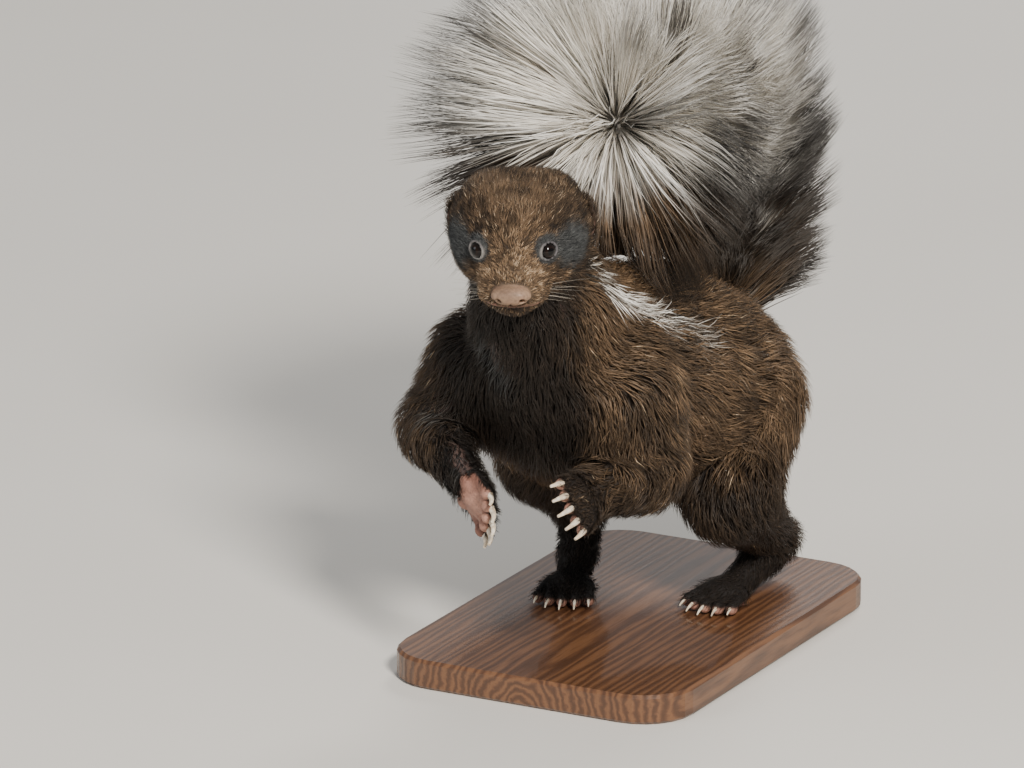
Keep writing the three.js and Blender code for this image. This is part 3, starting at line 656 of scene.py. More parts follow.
# %% [markdown]
# Skin, eyes and hair are worked out as arrays of points and faces, and foreach_set hands them to Blender
# in one step. A finished object sits at the origin, unturned, with its place in its mesh, as the solids
# do. What changes over a surface, such as its markings, is stored as a named attribute that its
# material reads.

# %% Mesh objects from arrays
def mesh_object(name, points, faces):
    """A smooth mesh object at the origin, from points in the animal's millimetres."""
    sizes = np.concatenate([np.full(len(group), group.shape[1]) for group in faces])
    corners = np.concatenate([group.ravel() for group in faces]).astype(np.int32)
    mesh = bpy.data.meshes.new(name)
    mesh.vertices.add(len(points))
    mesh.vertices.foreach_set("co", ((points + TO_FRAME) * MM).astype(np.float32).ravel())
    mesh.loops.add(len(corners))
    mesh.loops.foreach_set("vertex_index", corners)
    mesh.polygons.add(len(sizes))
    mesh.polygons.foreach_set("loop_start", np.concatenate([[0], np.cumsum(sizes)[:-1]]).astype(np.int32))
    mesh.update(calc_edges=True)
    mesh.shade_smooth()
    thing = bpy.data.objects.new(name, mesh)
    bpy.context.scene.collection.objects.link(thing)
    return thing


def points_of(thing):
    """An object's points, in the animal's millimetres."""
    flat = np.zeros(len(thing.data.vertices) * 3, np.float32)
    thing.data.vertices.foreach_get("co", flat)
    return flat.reshape(-1, 3).astype(float) / MM - TO_FRAME


def give(thing, name, values):
    """Stores three numbers for each point as a named attribute."""
    layer = thing.data.attributes.new(name, "FLOAT_VECTOR", "POINT")
    layer.data.foreach_set("vector", np.asarray(values, np.float32).ravel())


def evaluated_mesh(thing):
    """The mesh that an object's modifiers make, and the object without them."""
    graph = bpy.context.evaluated_depsgraph_get()
    mesh = bpy.data.meshes.new_from_object(thing.evaluated_get(graph))
    thing.modifiers.clear()
    thing.data = mesh
    return thing


def triangle_count(thing):
    return sum(len(polygon.vertices) - 2 for polygon in thing.data.polygons)


# %% [markdown]
# The skin is netted in six regions, each closed: the body with coarse cells, then the head, the paws and
# the feet with fine ones. The body's field leaves out the inside of the fine boxes, but for a narrow
# overlap, so the Boolean has something to join at each seam. A remesh of the whole would need the finest
# cells everywhere.

# %% The skin, netted in regions and joined
OVERLAP = 3.0
CELL = {"body": 2.4, "head": 0.8, "paw": 0.85}
BODY_BOX = (np.array((-72, -150, -4)), np.array((72, 125, 250)))
HEAD_BOX = (np.array((-42, -168, 170)), np.array((52, -78, 252)))
TOE_ROOM, PAW_ROOM = 4, 6


def block(low, high):
    middle, half = (low + high) / 2, (high - low) / 2
    return lambda p: np.max(np.abs(p - middle) - half, axis=1)


def paw_boxes():
    for paw in all_paws:
        tips = np.array([end + direction * TOE_ROOM for end, direction, _ in paw.toes])
        points = np.vstack([tips, paw.middle - paw.forward * PAW_ROOM])
        yield points.min(0) - PAW_ROOM, points.max(0) + PAW_ROOM


fine_boxes = [HEAD_BOX, *paw_boxes()]
head_and_neck = blend(4, union_of(NECK_ROUNDING, "trunk", "neck"), skull)
head_and_neck = carved(0.3, head_and_neck, *eyeballs)


def rest_of_body(p):
    """The skin's field with the finely netted boxes left out, but for a narrow overlap."""
    outside = [-block(low + OVERLAP, high - OVERLAP)(p) for low, high in fine_boxes]
    return np.maximum.reduce([skin_field(p), *outside])


def skin_regions():
    yield "body", BODY_BOX, rest_of_body
    yield "head", HEAD_BOX, head_and_neck
    for limits in fine_boxes[1:]:
        yield "paw", limits, skin_field


def make_skin():
    whole = None
    for name, (low, high), field in skin_regions():
        points, faces = net(field, low, high, CELL[name])
        region = mesh_object(name, settled(points, field), [faces])
        print("skin region", name, "has", len(points), "points")
        if whole is None:
            whole = region
            continue
        joint = whole.modifiers.new("join", "BOOLEAN")
        joint.operation = "UNION"
        joint.solver = "MANIFOLD"
        joint.object = region
        whole = evaluated_mesh(whole)
        bpy.data.objects.remove(region)
    whole.name = "skin"
    whole.data.shade_smooth()
    return whole


skin = make_skin()
print("skin:", triangle_count(skin), "triangles")

# %% [markdown]
# A coat's tufts each get a small patch of a map, at its root's place on the skin's own unwrap. The unwrap
# is worked out from the body's parts: each part is seen as a stretched globe, and its longitude and latitude
# fill a rectangle of the map. Rectangles stand on shelves, tallest first.
# Smart UV Project would cut the skin into hundreds of islands, with no order that the hair could share.

# %% The skin's own unwrap
MAP_WIDTH = 620
# How far behind a paw's middle its globe sits, half the globe's length, and its radius.
PAW_GLOBE = {"forepaw": (0, 20, 10), "hindfoot": (14, 34, 11)}


class Chart:
    """A part's globe: its centre, its axis and two directions square to it, and its half sizes."""

    def __init__(self, centre, axis, half_length, radius):
        self.centre = np.array(centre, float)
        self.axis = unit(axis)
        spare = (0, 0, 1) if abs(self.axis[2]) < 0.8 else (0, 1, 0)
        self.side = unit(np.cross(self.axis, spare))
        self.over = np.cross(self.axis, self.side)
        self.half_length, self.radius = half_length, radius
        self.size = np.array([2 * math.pi * radius, math.pi * half_length])
        self.corner = np.zeros(2)

    def angles(self, p):
        away = p - self.centre
        x = away @ self.side / self.radius
        y = away @ self.over / self.radius
        z = away @ self.axis / self.half_length
        return np.arctan2(y, x), np.arctan2(np.hypot(x, y), z)


def chart_of_bone(points, radii):
    a, b = (np.array(point, float) for point in points)
    radius = sum(radii) / 2
    return Chart((a + b) / 2, b - a, np.linalg.norm(b - a) / 2 + radius, radius)


def make_charts():
    charts = {
        "trunk": Chart((0, 0, 108), (0, 1, 0), 108, 48),
        "neck": chart_of_bone((NECK["from"], NECK["to"]), NECK["radii"]),
        "head": Chart(from_head((4, 0, 0)), AXES[0], 36, 30),
        "tail": Chart(tail_line[60], (0, -1, 1), 90, 12),
    }
    for side, ear in ears.items():
        charts[f"ear_{side}"] = Chart(ear.centre, ear.up, 12, 7)
    for (upper, lower, end), legs, paws in LIMBS:
        back, half_length, radius = PAW_GLOBE[end]
        for side, leg in legs.items():
            points, radii, paw = leg["points"], leg["radii"], paws[side]
            charts[f"{upper}_{side}"] = chart_of_bone(points[:2], radii[:2])
            charts[f"{lower}_{side}"] = chart_of_bone(points[1:], radii[1:])
            charts[f"{end}_{side}"] = Chart(paw.middle - paw.forward * back, paw.forward, half_length, radius)
    return charts


CHARTS = make_charts()


def shelve(charts):
    """Gives each chart its corner, and returns the side of the square that holds them all."""
    x = y = shelf = 0.0
    for chart in sorted(charts, key=lambda chart: -chart.size[1]):
        if x + chart.size[0] > MAP_WIDTH:
            x, y, shelf = 0.0, y + shelf, 0.0
        chart.corner = np.array([x, y])
        x += chart.size[0]
        shelf = max(shelf, chart.size[1])
    return max(MAP_WIDTH, y + shelf)


map_side = shelve(CHARTS.values())


def unwrapped(p, part, turn_near=None):
    """Places on the map for points of named parts, by part number. Angles stay near turn_near's."""
    found = np.zeros((len(p), 2))
    turns = np.zeros(len(p))
    for number, name in enumerate(PARTS):
        own = part == number
        chart = CHARTS[name]
        turn, height = chart.angles(p[own])
        if turn_near is not None:
            turn = turn + 2 * math.pi * np.round((turn_near[own] - turn) / (2 * math.pi))
        share = np.stack([np.clip(turn / (2 * math.pi) + 0.5, 0, 1), height / math.pi], axis=1)
        found[own] = (chart.corner + share * chart.size) / map_side
        turns[own] = turn
    return found, turns


def nearest_part(p):
    """For each point, the number of the part that it lies nearest to."""
    return np.argmin([part.field(p) for part in PARTS.values()], axis=0)


def corners_of(thing):
    """The point of each face corner, and the face that each corner belongs to."""
    mesh = thing.data
    corner = np.zeros(len(mesh.loops), np.int32)
    mesh.loops.foreach_get("vertex_index", corner)
    sizes = np.zeros(len(mesh.polygons), np.int32)
    mesh.polygons.foreach_get("loop_total", sizes)
    return corner, np.repeat(np.arange(len(sizes)), sizes)


def give_map(thing, places):
    layer = thing.data.uv_layers.new(name="OFBake")
    layer.data.foreach_set("uv", np.asarray(places, np.float32).ravel())


def map_skin():
    points = points_of(skin)
    corner, face = corners_of(skin)
    weight = np.bincount(face)
    middle = np.stack([np.bincount(face, points[corner, n]) / weight for n in range(3)], axis=1)
    part = nearest_part(middle)
    _, turns = unwrapped(middle, part)
    places, _ = unwrapped(points[corner], part[face], turns[face])
    give_map(skin, places)


map_skin()
print("map of", len(CHARTS), "charts, one side is", round(map_side), "mm of skin")

# %% [markdown]
# The markings are worked out from a point's place alone, so skin and coat agree. Each point gets three
# tones: how white it is, how sandy, from the dark coat through dusty brown to pale grit, and how slate
# grey. A fourth number says how bare the skin is, as on the nose, the lids, the lips and the soles.
# The face carries no white blaze, and the stripe on each flank is short: it starts behind the ear and
# thins out over the ribs.

# %% Markings
STRIPE = {
    "line": (
        (32, -99, 200),
        (33, -84, 188),
        (33, -66, 177),
        (36, -48, 164),
        (40, -28, 152),
        (44, -8, 141),
        (46, 6, 133),
    ),
    "width": (4, 6, 7.5, 7.5, 6, 4.5, 2),
}
THIN_HAIR = {
    "throat_fold": ((28, -116, 185), (26.5, -108, 159), 2.4),
    "right_forearm": ((-49, -93, 120), (-26, -113, 103), 5.5),
    "chest": ((-12, -114, 161), (-6, -114, 150), 9),
}


def waves(p, size, seed):
    """Smooth noise from -1 to 1 whose patches are about half the given size."""
    random = np.random.default_rng(seed)
    total = np.zeros(len(p))
    for _ in range(6):
        ripple = unit(random.normal(size=3)) * 2 * math.pi / size * random.uniform(0.6, 1.5)
        total += np.sin(p @ ripple + random.uniform(0, 2 * math.pi))
    return np.clip(total / 3, -1, 1)


def stripe_weight(p):
    """How white the stripe makes a point, alike on both sides."""
    mirrored = p.copy()
    mirrored[:, 0] = np.abs(p[:, 0])
    line, width = np.array(STRIPE["line"], float), STRIPE["width"]
    best = np.full(len(p), -np.inf)
    for i in range(len(line) - 1):
        run = line[i + 1] - line[i]
        t = np.clip((mirrored - line[i]) @ run / (run @ run), 0, 1)
        away = np.linalg.norm(mirrored - line[i] - t[:, None] * run, axis=1)
        best = np.maximum(best, 1 - away / mix(width[i], width[i + 1], t))
    return smooth(-0.15, 0.45, best + 0.25 * waves(p, 9, 31))


def thin_weight(p):
    """Where the coat is so thin that the skin shows: the throat's fold, the chest and the right forearm."""
    found = np.zeros(len(p))
    ragged = 1.5 * waves(p, 7, 32)
    for start, end, radius in THIN_HAIR.values():
        found = np.maximum(found, smooth(1.5, -1.5, bone(start, end, radius, radius)(p) + ragged))
    return found


def bare_weight(p, normal):
    """Bare skin: nose pad, lids, lips, the soles of the paws, and a little in the ears."""
    bare = smooth(0.9, -0.1, nose_pad(p))
    for eye in eyes.values():
        out, around = eye.out_and_around(p)
        bare = np.maximum(bare, smooth(5.0, 4.4, around) * (out > -2))
    f, _, u = to_head(p).T
    lips = smooth(1.5, 0.7, np.abs(u - MOUTH["level"])) * (f > 14) * (np.abs(face(p)) < 3)
    bare = np.maximum(bare, lips * 0.8)
    for paw in all_paws:
        near = smooth(2.5, 1.0, paw.field(p)) * smooth(-6, 0, (p - paw.middle) @ paw.forward)
        bare = np.maximum(bare, near * smooth(0.25, 0.65, normal @ paw.palm))
        for pad in paw.pads:
            bare = np.maximum(bare, smooth(0.9, 0.2, pad(p)))
    for ear in ears.values():
        bare = np.maximum(bare, 0.3 * smooth(0.8, 0.0, ear.cup(p)))
    return bare


def slate_weight(p):
    """The slate grey patch behind and over each eye, and the grey lids."""
    f, l, u = to_head(p).T
    away = np.sqrt(((f - 11) / 12) ** 2 + ((np.abs(l) - 23) / 9) ** 2 + ((u - 4) / 11) ** 2)
    slate = smooth(1.2, 0.7, away + 0.16 * waves(p, 7, 11))
    for eye in eyes.values():
        slate = np.maximum(slate, smooth(7.5, 6.0, np.linalg.norm(p - eye.centre, axis=1)))
    return slate


def face_tone(p):
    """How sandy the face is: palest on the muzzle, darker over the cheeks and under the jaw."""
    f, l, u = to_head(p).T
    tone = 0.34 + 0.08 * waves(p, 13, 3) + 0.06 * waves(p, 4, 4)
    tone += 0.26 * smooth(16, 31, f) - 0.12 * smooth(10, 20, np.abs(l)) * smooth(20, 8, f)
    tone += 0.14 * smooth(14, 24, u)
    return tone * mix(0.35, 1, smooth(-19, -9, u)) * mix(0.6, 1, smooth(-24, -8, f))


def body_tone(p):
    """How sandy the body is: dusty brown over the flanks, blackish on the throat, chest, belly and legs, with
    painted shade over the right shoulder.
    """
    tone = 0.4 + 0.07 * waves(p, 26, 5) + 0.06 * waves(p, 9, 6)
    tone += 0.08 * smooth(-20, -60, p[:, 1]) * smooth(12, 34, p[:, 0])
    # The dark front is the coat's own blackish throat and chest, and painted shade where it reaches over the
    # right shoulder, the side away from the light.
    front = smooth(-66, -92, p[:, 1]) * smooth(44, 26, np.abs(p[:, 0] + 9)) * smooth(208, 190, p[:, 2])
    legs = smooth(98, 62, p[:, 2])
    belly = smooth(84, 66, p[:, 2]) * smooth(34, 18, np.abs(p[:, 0]))
    return tone * (1 - 0.82 * front) * (1 - 0.5 * legs) * (1 - 0.5 * belly)


def is_kind(part, *kinds):
    """Which of some part numbers stand for parts of these kinds."""
    return np.isin(part, [number for number, name in enumerate(PARTS) if kind_of(name) in kinds])


def markings(p, part):
    """White, sandy and slate tones of points, for the parts that they lie nearest to."""
    on_head = smooth(5, 0.5, PARTS["head"].field(p)) * smooth(-34, -24, to_head(p)[:, 0])
    sand = mix(np.clip(body_tone(p), 0.03, 0.6), np.clip(face_tone(p), 0.05, 0.9), on_head)
    white = stripe_weight(p) * (1 - on_head)
    thin = thin_weight(p) * (1 - on_head)
    slate = np.maximum(slate_weight(p) * on_head, 0.6 * thin)
    white = np.where(is_kind(part, "tail"), 0.75 * smooth(140, 190, p[:, 2]), white)
    sand = np.where(is_kind(part, "tail"), 0.55, sand)
    sand = np.where(is_kind(part, "ear", "hindfoot", "forepaw"), sand * 0.6, sand)
    # The forelegs are darker: partly their own dark coat, partly painted shade.
    sand = np.where(is_kind(part, "upper_foreleg", "forearm"), sand * 0.7, sand)
    return white, sand, slate


skin_points = points_of(skin)
skin_normals = slope(skin_field, skin_points)
skin_part = nearest_part(skin_points)
skin_thin = thin_weight(skin_points)
skin_bare = np.maximum(bare_weight(skin_points, skin_normals), 0.45 * skin_thin)
give(skin, "marks", np.stack(markings(skin_points, skin_part), axis=1))
even = np.ones(len(skin_points))
give(skin, "hair", np.stack([0.25 * even, 0.5 * even, skin_bare], axis=1))
print("bare skin on", int((skin_bare > 0.5).sum()), "of", len(skin_points), "points")

# %% [markdown]
# Shader sums read best as plain sums. A small class wraps a socket, and each operator adds the Math
# node that it stands for, also where the number comes first, as in 1 - mask. Every other node comes from
# one method that takes its kind, its settings and its sockets.

# %% Sockets in expressions
MIX_FACTOR, MIX_A, MIX_B, MIX_RESULT = 0, 6, 7, 2


def colour(code):
    """A linear colour from the usual six-digit code."""
    parts = [int(code[i : i + 2], 16) / 255 for i in (0, 2, 4)]
    return [v / 12.92 if v <= 0.04045 else ((v + 0.055) / 1.055) ** 2.4 for v in parts] + [1.0]


class Value:
    """A socket that sums can be written with."""

    def __init__(self, shader, socket):
        self.shader, self.socket = shader, socket

    def maths(self, operation, *terms):
        return self.shader.value("ShaderNodeMath", 0, {"operation": operation}, dict(enumerate(terms)))

    def __add__(self, other):
        return self.maths("ADD", self, other)

    def __sub__(self, other):
        return self.maths("SUBTRACT", self, other)

    def __rsub__(self, other):
        return self.maths("SUBTRACT", other, self)

    def __mul__(self, other):
        return self.maths("MULTIPLY", self, other)

    __radd__ = __add__
    __rmul__ = __mul__

    def clamped(self):
        return self.shader.value("ShaderNodeClamp", 0, {}, {0: self})

    def between(self, low, high):
        """0 below low, 1 above high, and smooth in between."""
        settings = {"interpolation_type": "SMOOTHSTEP"}
        return self.shader.value("ShaderNodeMapRange", 0, settings, {0: self, 1: low, 2: high})


class Shader:
    """A material, and the nodes that are added to it."""

    def __init__(self, name):
        self.material = bpy.data.materials.new(name)
        self.material.use_nodes = True
        self.tree = self.material.node_tree
        self.tree.nodes.clear()

    def node(self, kind, settings=(), sockets=()):
        node = self.tree.nodes.new(kind)
        for key, value in dict(settings).items():
            if key == "stops":
                self.set_stops(node.color_ramp, value)
            else:
                setattr(node, key, value)
        for key, value in dict(sockets).items():
            if isinstance(value, Value):
                self.tree.links.new(value.socket, node.inputs[key])
            else:
                node.inputs[key].default_value = value
        return node

    @staticmethod
    def set_stops(ramp, stops):
        while len(ramp.elements) < len(stops):
            ramp.elements.new(1.0)
        for element, (place, shade) in zip(ramp.elements, stops):
            element.position, element.color = place, shade

    def value(self, kind, output=0, settings=(), sockets=()):
        return Value(self, self.node(kind, settings, sockets).outputs[output])

    def blended(self, factor, a, b, kind="MIX"):
        settings = {"data_type": "RGBA", "blend_type": kind}
        return self.value("ShaderNodeMix", MIX_RESULT, settings, {MIX_FACTOR: factor, MIX_A: a, MIX_B: b})

    def parts_of(self, attribute):
        vector = self.value("ShaderNodeAttribute", "Vector", {"attribute_name": attribute})
        split = self.node("ShaderNodeSeparateXYZ", {}, {0: vector})
        return [Value(self, output) for output in split.outputs]

    def place(self):
        return self.value("ShaderNodeTexCoord", "Object")

    def stretched(self, place, scale):
        return self.value("ShaderNodeMapping", 0, {}, {"Vector": place, "Scale": scale})

    def noise(self, place, scale, detail):
        return self.value("ShaderNodeTexNoise", 0, {}, {"Vector": place, "Scale": scale, "Detail": detail})

    def ramp(self, factor, stops):
        return self.value("ShaderNodeValToRGB", 0, {"stops": stops}, {0: factor})

    def bumped(self, height, distance, strength):
        sockets = {"Height": height, "Distance": distance, "Strength": strength}
        return self.value("ShaderNodeBump", "Normal", {}, sockets)

    def finish(self, **sockets):
        """Joins the named sockets to one Principled surface, and returns the material."""
        names = {key.replace("_", " "): value for key, value in sockets.items()}
        surface = self.value("ShaderNodeBsdfPrincipled", 0, {}, names)
        self.node("ShaderNodeOutputMaterial", {}, {"Surface": surface})
        return self.material


# %% [markdown]
# One recipe colours skin and hair. The sandy tone walks along a ramp from the blackish coat through dusty
# brown to pale grit, and white and slate are laid over it. Each hair is darker at its root, a painted shade
# for the little light that gets in there, and each tuft is a little lighter or darker than the next. The skin
# under the hair is the same colour, only darker, a painted shade of the coat over it, and it goes over to
# pinkish skin where it is bare.

# %% Coat and skin materials
TONES = [
    (0.0, colour("15110d")),
    (0.2, colour("2d231a")),
    (0.4, colour("4e3e2e")),
    (0.6, colour("725b44")),
    (0.8, colour("9b7f61")),
    (1.0, colour("d0ba9d")),
]
WHITES = colour("e0d7c7"), colour("fbf8f2")
SLATES = colour("232427"), colour("5d5e5c")
PINK_SKIN = colour("805648"), colour("b48673")
NOSE_SKIN = colour("6a5242"), colour("9c7f67")
GREY_LIDS = colour("55575a"), colour("8b8b86")
# The first colour darkens the skin wherever the coat covers it, a painted shade under the hair; the second is
# the skin's fine grain.
SKIN_PAINTED_SHADE, SKIN_GRAIN = colour("989898"), colour("2a1b16")


def coat_colour(shader, marks, chance):
    """The colour of the coat's markings, a little lighter or darker by each tuft's own chance."""
    white, sand, slate = marks
    tone = sand + (chance - 0.5) * 0.3 * sand.between(0.0, 0.35)
    shade = shader.ramp(tone.clamped(), TONES)
    shade = shader.blended(white, shade, shader.blended(chance, *WHITES))
    return shader.blended(slate, shade, shader.blended(chance, *SLATES))


def hair_material(name, roughness):
    shader = Shader(name)
    share, chance, _ = shader.parts_of("hair")
    shade = coat_colour(shader, shader.parts_of("marks"), chance)
    # Painted shade: each hair is darkened towards its root, where little light gets in; the chance term is
    # each tuft's own lighter or darker tone.
    light = 0.48 + 0.56 * share.between(-0.1, 0.55) + (chance - 0.5) * 0.25
    grey = shader.value("ShaderNodeCombineColor", 0, {}, {0: light, 1: light, 2: light})
    shade = shader.blended(1.0, shade, grey, "MULTIPLY")
    return shader.finish(Base_Color=shade, Roughness=roughness, Specular_IOR_Level=0.35)


def skin_material():
    shader = Shader("skin")
    marks = shader.parts_of("marks")
    _, chance, bare = shader.parts_of("hair")
    shade = coat_colour(shader, marks, chance)
    place = shader.place()
    grain = shader.noise(place, 900, 4)
    blotch = shader.noise(place, 60, 3)
    _, sand, slate = marks
    pink = shader.blended(blotch.between(0.3, 0.7), *PINK_SKIN)
    nose = shader.blended(blotch.between(0.3, 0.7), *NOSE_SKIN)
    lids = shader.blended(blotch.between(0.4, 0.7), *GREY_LIDS)
    flesh = shader.blended(sand.between(0.4, 0.6), pink, nose)
    flesh = shader.blended(slate * 0.9, flesh, lids)
    # Painted shade: covered skin is darkened, and the bare skin mixed in next keeps its own colour.
    shade = shader.blended(1.0, shade, SKIN_PAINTED_SHADE, "MULTIPLY")
    shade = shader.blended(bare, shade, flesh)
    shade = shader.blended(grain.between(0.35, 0.75) * 0.35, shade, SKIN_GRAIN)
    cells = {"Vector": place, "Scale": 1100}
    creases = shader.value("ShaderNodeTexVoronoi", 0, {"feature": "DISTANCE_TO_EDGE"}, cells)
    height = grain * 0.6 + creases.between(0.0, 0.12) * 0.5
    return shader.finish(
        Base_Color=shade,
        Roughness=0.72 - 0.22 * bare,
        Specular_IOR_Level=0.4,
        Normal=shader.bumped(height, 0.0003, 0.7),
    )


skin.data.materials.clear()
skin.data.materials.append(skin_material())
MATERIALS = {
    "face_fur": hair_material("hair_face_fur", 0.62),
    "dark_coat": hair_material("hair_dark_coat", 0.5),
    "tail_hair": hair_material("hair_tail_hair", 0.48),
}
print("materials:", ", ".join(material.name for material in bpy.data.materials))

# %% [markdown]
# A tuft of fur is a thin closed blade of three edges that tapers to a point: ten triangles for stubble
# on the face, more for long hair that bends. All blades of a piece are made at once as arrays: a line
# of points for each blade, three corners round each point, and the same faces again and again. Hair
# curves would look as good in a render, but the part is kept as meshes, and flat cards would show their
# edges and leave the coat open.

# %% Blades of hair
COAT_LIMIT = 198000
PATCH = 0.003
# A blade's width grows from its root, then narrows along a curve. Its two edges lie back from its ridge.
ROOT_WIDTH, SWELL = 0.55, 2.0
NARROWING, NARROWING_CURVE = 0.86, 1.7
EDGE_BACK, RIDGE = 0.22, 0.5


def blade_faces(rings):
    """The faces of one blade with three corners on each ring and a point at its tip."""
    sides = [
        (3 * ring + s, 3 * ring + (s + 1) % 3, 3 * ring + 3 + (s + 1) % 3, 3 * ring + 3 + s)
        for ring in range(rings - 1)
        for s in range(3)
    ]
    last = 3 * (rings - 1)
    tip = [(last + s, last + (s + 1) % 3, 3 * rings) for s in range(3)]
    return np.array(sides).reshape(-1, 4), np.array([*tip, (0, 2, 1)])


def triangles_of_blade(rings):
    return 6 * (rings - 1) + 4


class Hairs:
    """Lines of many tufts, with their half-widths, flat sides, colours and places on the map."""

    def __init__(self, lines, flat, width, tones, chance, place, root_light=0.0):
        self.lines, self.flat, self.width = lines, flat, width
        self.tones, self.chance, self.place = tones, chance, place
        self.root_light = root_light

    def chosen(self, which):
        own = (self.lines, self.flat, self.width, self.tones, self.chance, self.place)
        return Hairs(*[values[which] for values in own], self.root_light)

    def corners(self):
        """Three corners round each point of a blade but its last, and then its tip."""
        count, points, _ = self.lines.shape
        rings = points - 1
        share = np.linspace(0, 1, points)
        run = unit(np.gradient(self.lines, axis=1))
        side = unit(np.cross(np.broadcast_to(self.flat[:, None], run.shape), run))
        over = np.cross(run, side)
        taper = np.minimum(1, ROOT_WIDTH + SWELL * share) * (1 - NARROWING * share**NARROWING_CURVE)
        half = (self.width[:, None] * taper)[..., None]
        around = np.stack([
            self.lines + side * half - over * half * EDGE_BACK,
            self.lines + over * half * RIDGE,
            self.lines - side * half - over * half * EDGE_BACK,
        ], axis=2)[:, :rings]
        return np.concatenate([around.reshape(count, rings * 3, 3), self.lines[:, -1:]], axis=1)

    def colour_in(self, thing):
        """Gives a piece its map, markings and hair numbers, in the order of its corners."""
        count, points, _ = self.lines.shape
        rings = points - 1
        each = rings * 3 + 1
        part = np.append(np.repeat(np.linspace(0, 1, points)[:rings], 3), 1.0)
        sideways = np.append(np.tile([1.0, 0.0, -1.0], rings), 0.0)
        patch = np.stack([sideways, 2 * part - 1], axis=1) * PATCH / 2
        places = (self.place[:, None] + patch).reshape(-1, 2)
        corner, _ = corners_of(thing)
        give_map(thing, np.clip(places[corner], 0, 1))
        tones = np.concatenate([np.repeat(self.tones[:, :rings], 3, axis=1), self.tones[:, -1:]], axis=1)
        give(thing, "marks", tones.reshape(-1, 3))
        # The first hair number sets the painted shade along each tuft: deepest at its root, set by
        # root_light, and none at its tip.
        lit = np.broadcast_to(mix(self.root_light, 1, part), (count, each))
        chance = np.broadcast_to(self.chance[:, None], (count, each))
        give(thing, "hair", np.stack([lit, chance, np.zeros((count, each))], axis=2).reshape(-1, 3))

    def piece(self, name, slot):
        corners = self.corners()
        count, each, _ = corners.shape
        quads, triangles = blade_faces((each - 1) // 3)
        offset = (np.arange(count) * each)[:, None, None]
        faces = [(quads + offset).reshape(-1, 4), (triangles + offset).reshape(-1, 3)]
        thing = mesh_object(name, corners.reshape(-1, 3), faces)
        self.colour_in(thing)
        thing.data.materials.append(MATERIALS[slot])
        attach(thing, "root")


def hair_pieces(hairs, names, slot):
    """Splits hairs from right to left into pieces that stay under the limit, one for each name."""
    rings = hairs.lines.shape[1] - 1
    order = np.argsort(hairs.lines[:, 0, 0], kind="stable")
    for name, which in zip(names, np.array_split(order, len(names))):
        triangles = len(which) * triangles_of_blade(rings)
        if triangles > COAT_LIMIT:
            raise ValueError(f"{name} has {triangles} triangles: give these hairs more names")
        hairs.chosen(which).piece(name, slot)
        print(name, len(which), "tufts,", triangles, "triangles")


# %% [markdown]
# Roots are scattered evenly over the skin: the faces are walked in order, and a root is dropped each
# time the area passed, times the coat's density there, grows by one. Bare skin gets none. Distributing
# points on faces by nodes does the same, but here each root also keeps its part and its map place.

# %% Roots on the skin
FINE_SPACING = {"head": 0.53, "ear": 0.62, "forepaw": 0.95, "hindfoot": 1.15}
BODY_SPACING = dict.fromkeys(("trunk", "neck", "upper_foreleg", "forearm", "thigh", "shank"), 1.48)
TAIL_SPACING = {"tail": 0.7}


def density_of(spacing):
    """How many tufts grow on a square millimetre of each part, from the distance between them."""
    gaps = [spacing.get(kind_of(name)) for name in PARTS]
    table = np.array([0.0 if gap is None else gap**-2 for gap in gaps])
    return lambda part: table[part]


class Roots:
    """Places on the skin where tufts grow, with the skin's direction, part and map there."""

    def __init__(self, spacing, seed):
        density = density_of(spacing)
        random = np.random.default_rng(seed)
        mesh = skin.data
        mesh.calc_loop_triangles()
        corner = np.zeros(len(mesh.loop_triangles) * 3, np.int32)
        mesh.loop_triangles.foreach_get("vertices", corner)
        corner = corner.reshape(-1, 3)
        a, b, c = (skin_points[corner[:, n]] for n in range(3))
        area = np.linalg.norm(np.cross(b - a, c - a), axis=1) / 2
        weight = area * density(skin_part[corner[:, 0]]) * (skin_bare[corner].mean(1) < 0.5)
        weight *= 1 - 0.6 * skin_thin[corner].mean(1)
        passed = np.cumsum(weight)
        drops = np.arange(int(passed[-1])) + random.random(int(passed[-1]))
        face = np.minimum(np.searchsorted(passed, drops), len(area) - 1)
        u, v = random.random((2, len(face), 1))
        u, v = np.where(u + v > 1, 1 - u, u), np.where(u + v > 1, 1 - v, v)
        self.p = a[face] + u * (b - a)[face] + v * (c - a)[face]
        self.normal = slope(skin_field, self.p)
        self.part = skin_part[corner[face, 0]]
        self.place, _ = unwrapped(self.p, self.part)
        self.chance = random.random(len(face))


def weighted_growth(p):
    """Lie, length, rise and width of the hair at points, weighed from the parts near them."""
    parts = [part for part in PARTS.values() if part.growth]
    weights = np.stack([np.exp(-np.clip(part.field(p), -2, 60) / 3.0) for part in parts], axis=1)
    weights /= weights.sum(1, keepdims=True)
    lie = sum(weights[:, n : n + 1] * unit(part.lie(p)) for n, part in enumerate(parts))
    sizes = weights @ np.array([part.growth for part in parts])
    return lie, *sizes.T


# %% [markdown]
# A tuft on the body leaves the skin at its root and then lies along the body, so each of its points is
# lifted or lowered until it stands at the height of the coat there. Neighbouring tufts lean towards a
# common tip, which parts the coat into soft clumps, as dusty fur does.

# %% The short and middle coat
ROOT_DEPTH = 0.25


def turned(direction, normal, angle):
    return direction * np.cos(angle)[:, None] + np.cross(normal, direction) * np.sin(angle)[:, None]


def nearest_clump(p, every, seed):
    """For each root, the place of the nearest of a few chosen roots."""
    random = np.random.default_rng(seed)
    chosen = p[random.random(len(p)) < 1 / every]
    tree = kdtree.KDTree(len(chosen))
    for i, place in enumerate(chosen):
        tree.insert(place, i)
    tree.balance()
    found = np.array([tree.find(place)[1] for place in p])
    return chosen[found], found


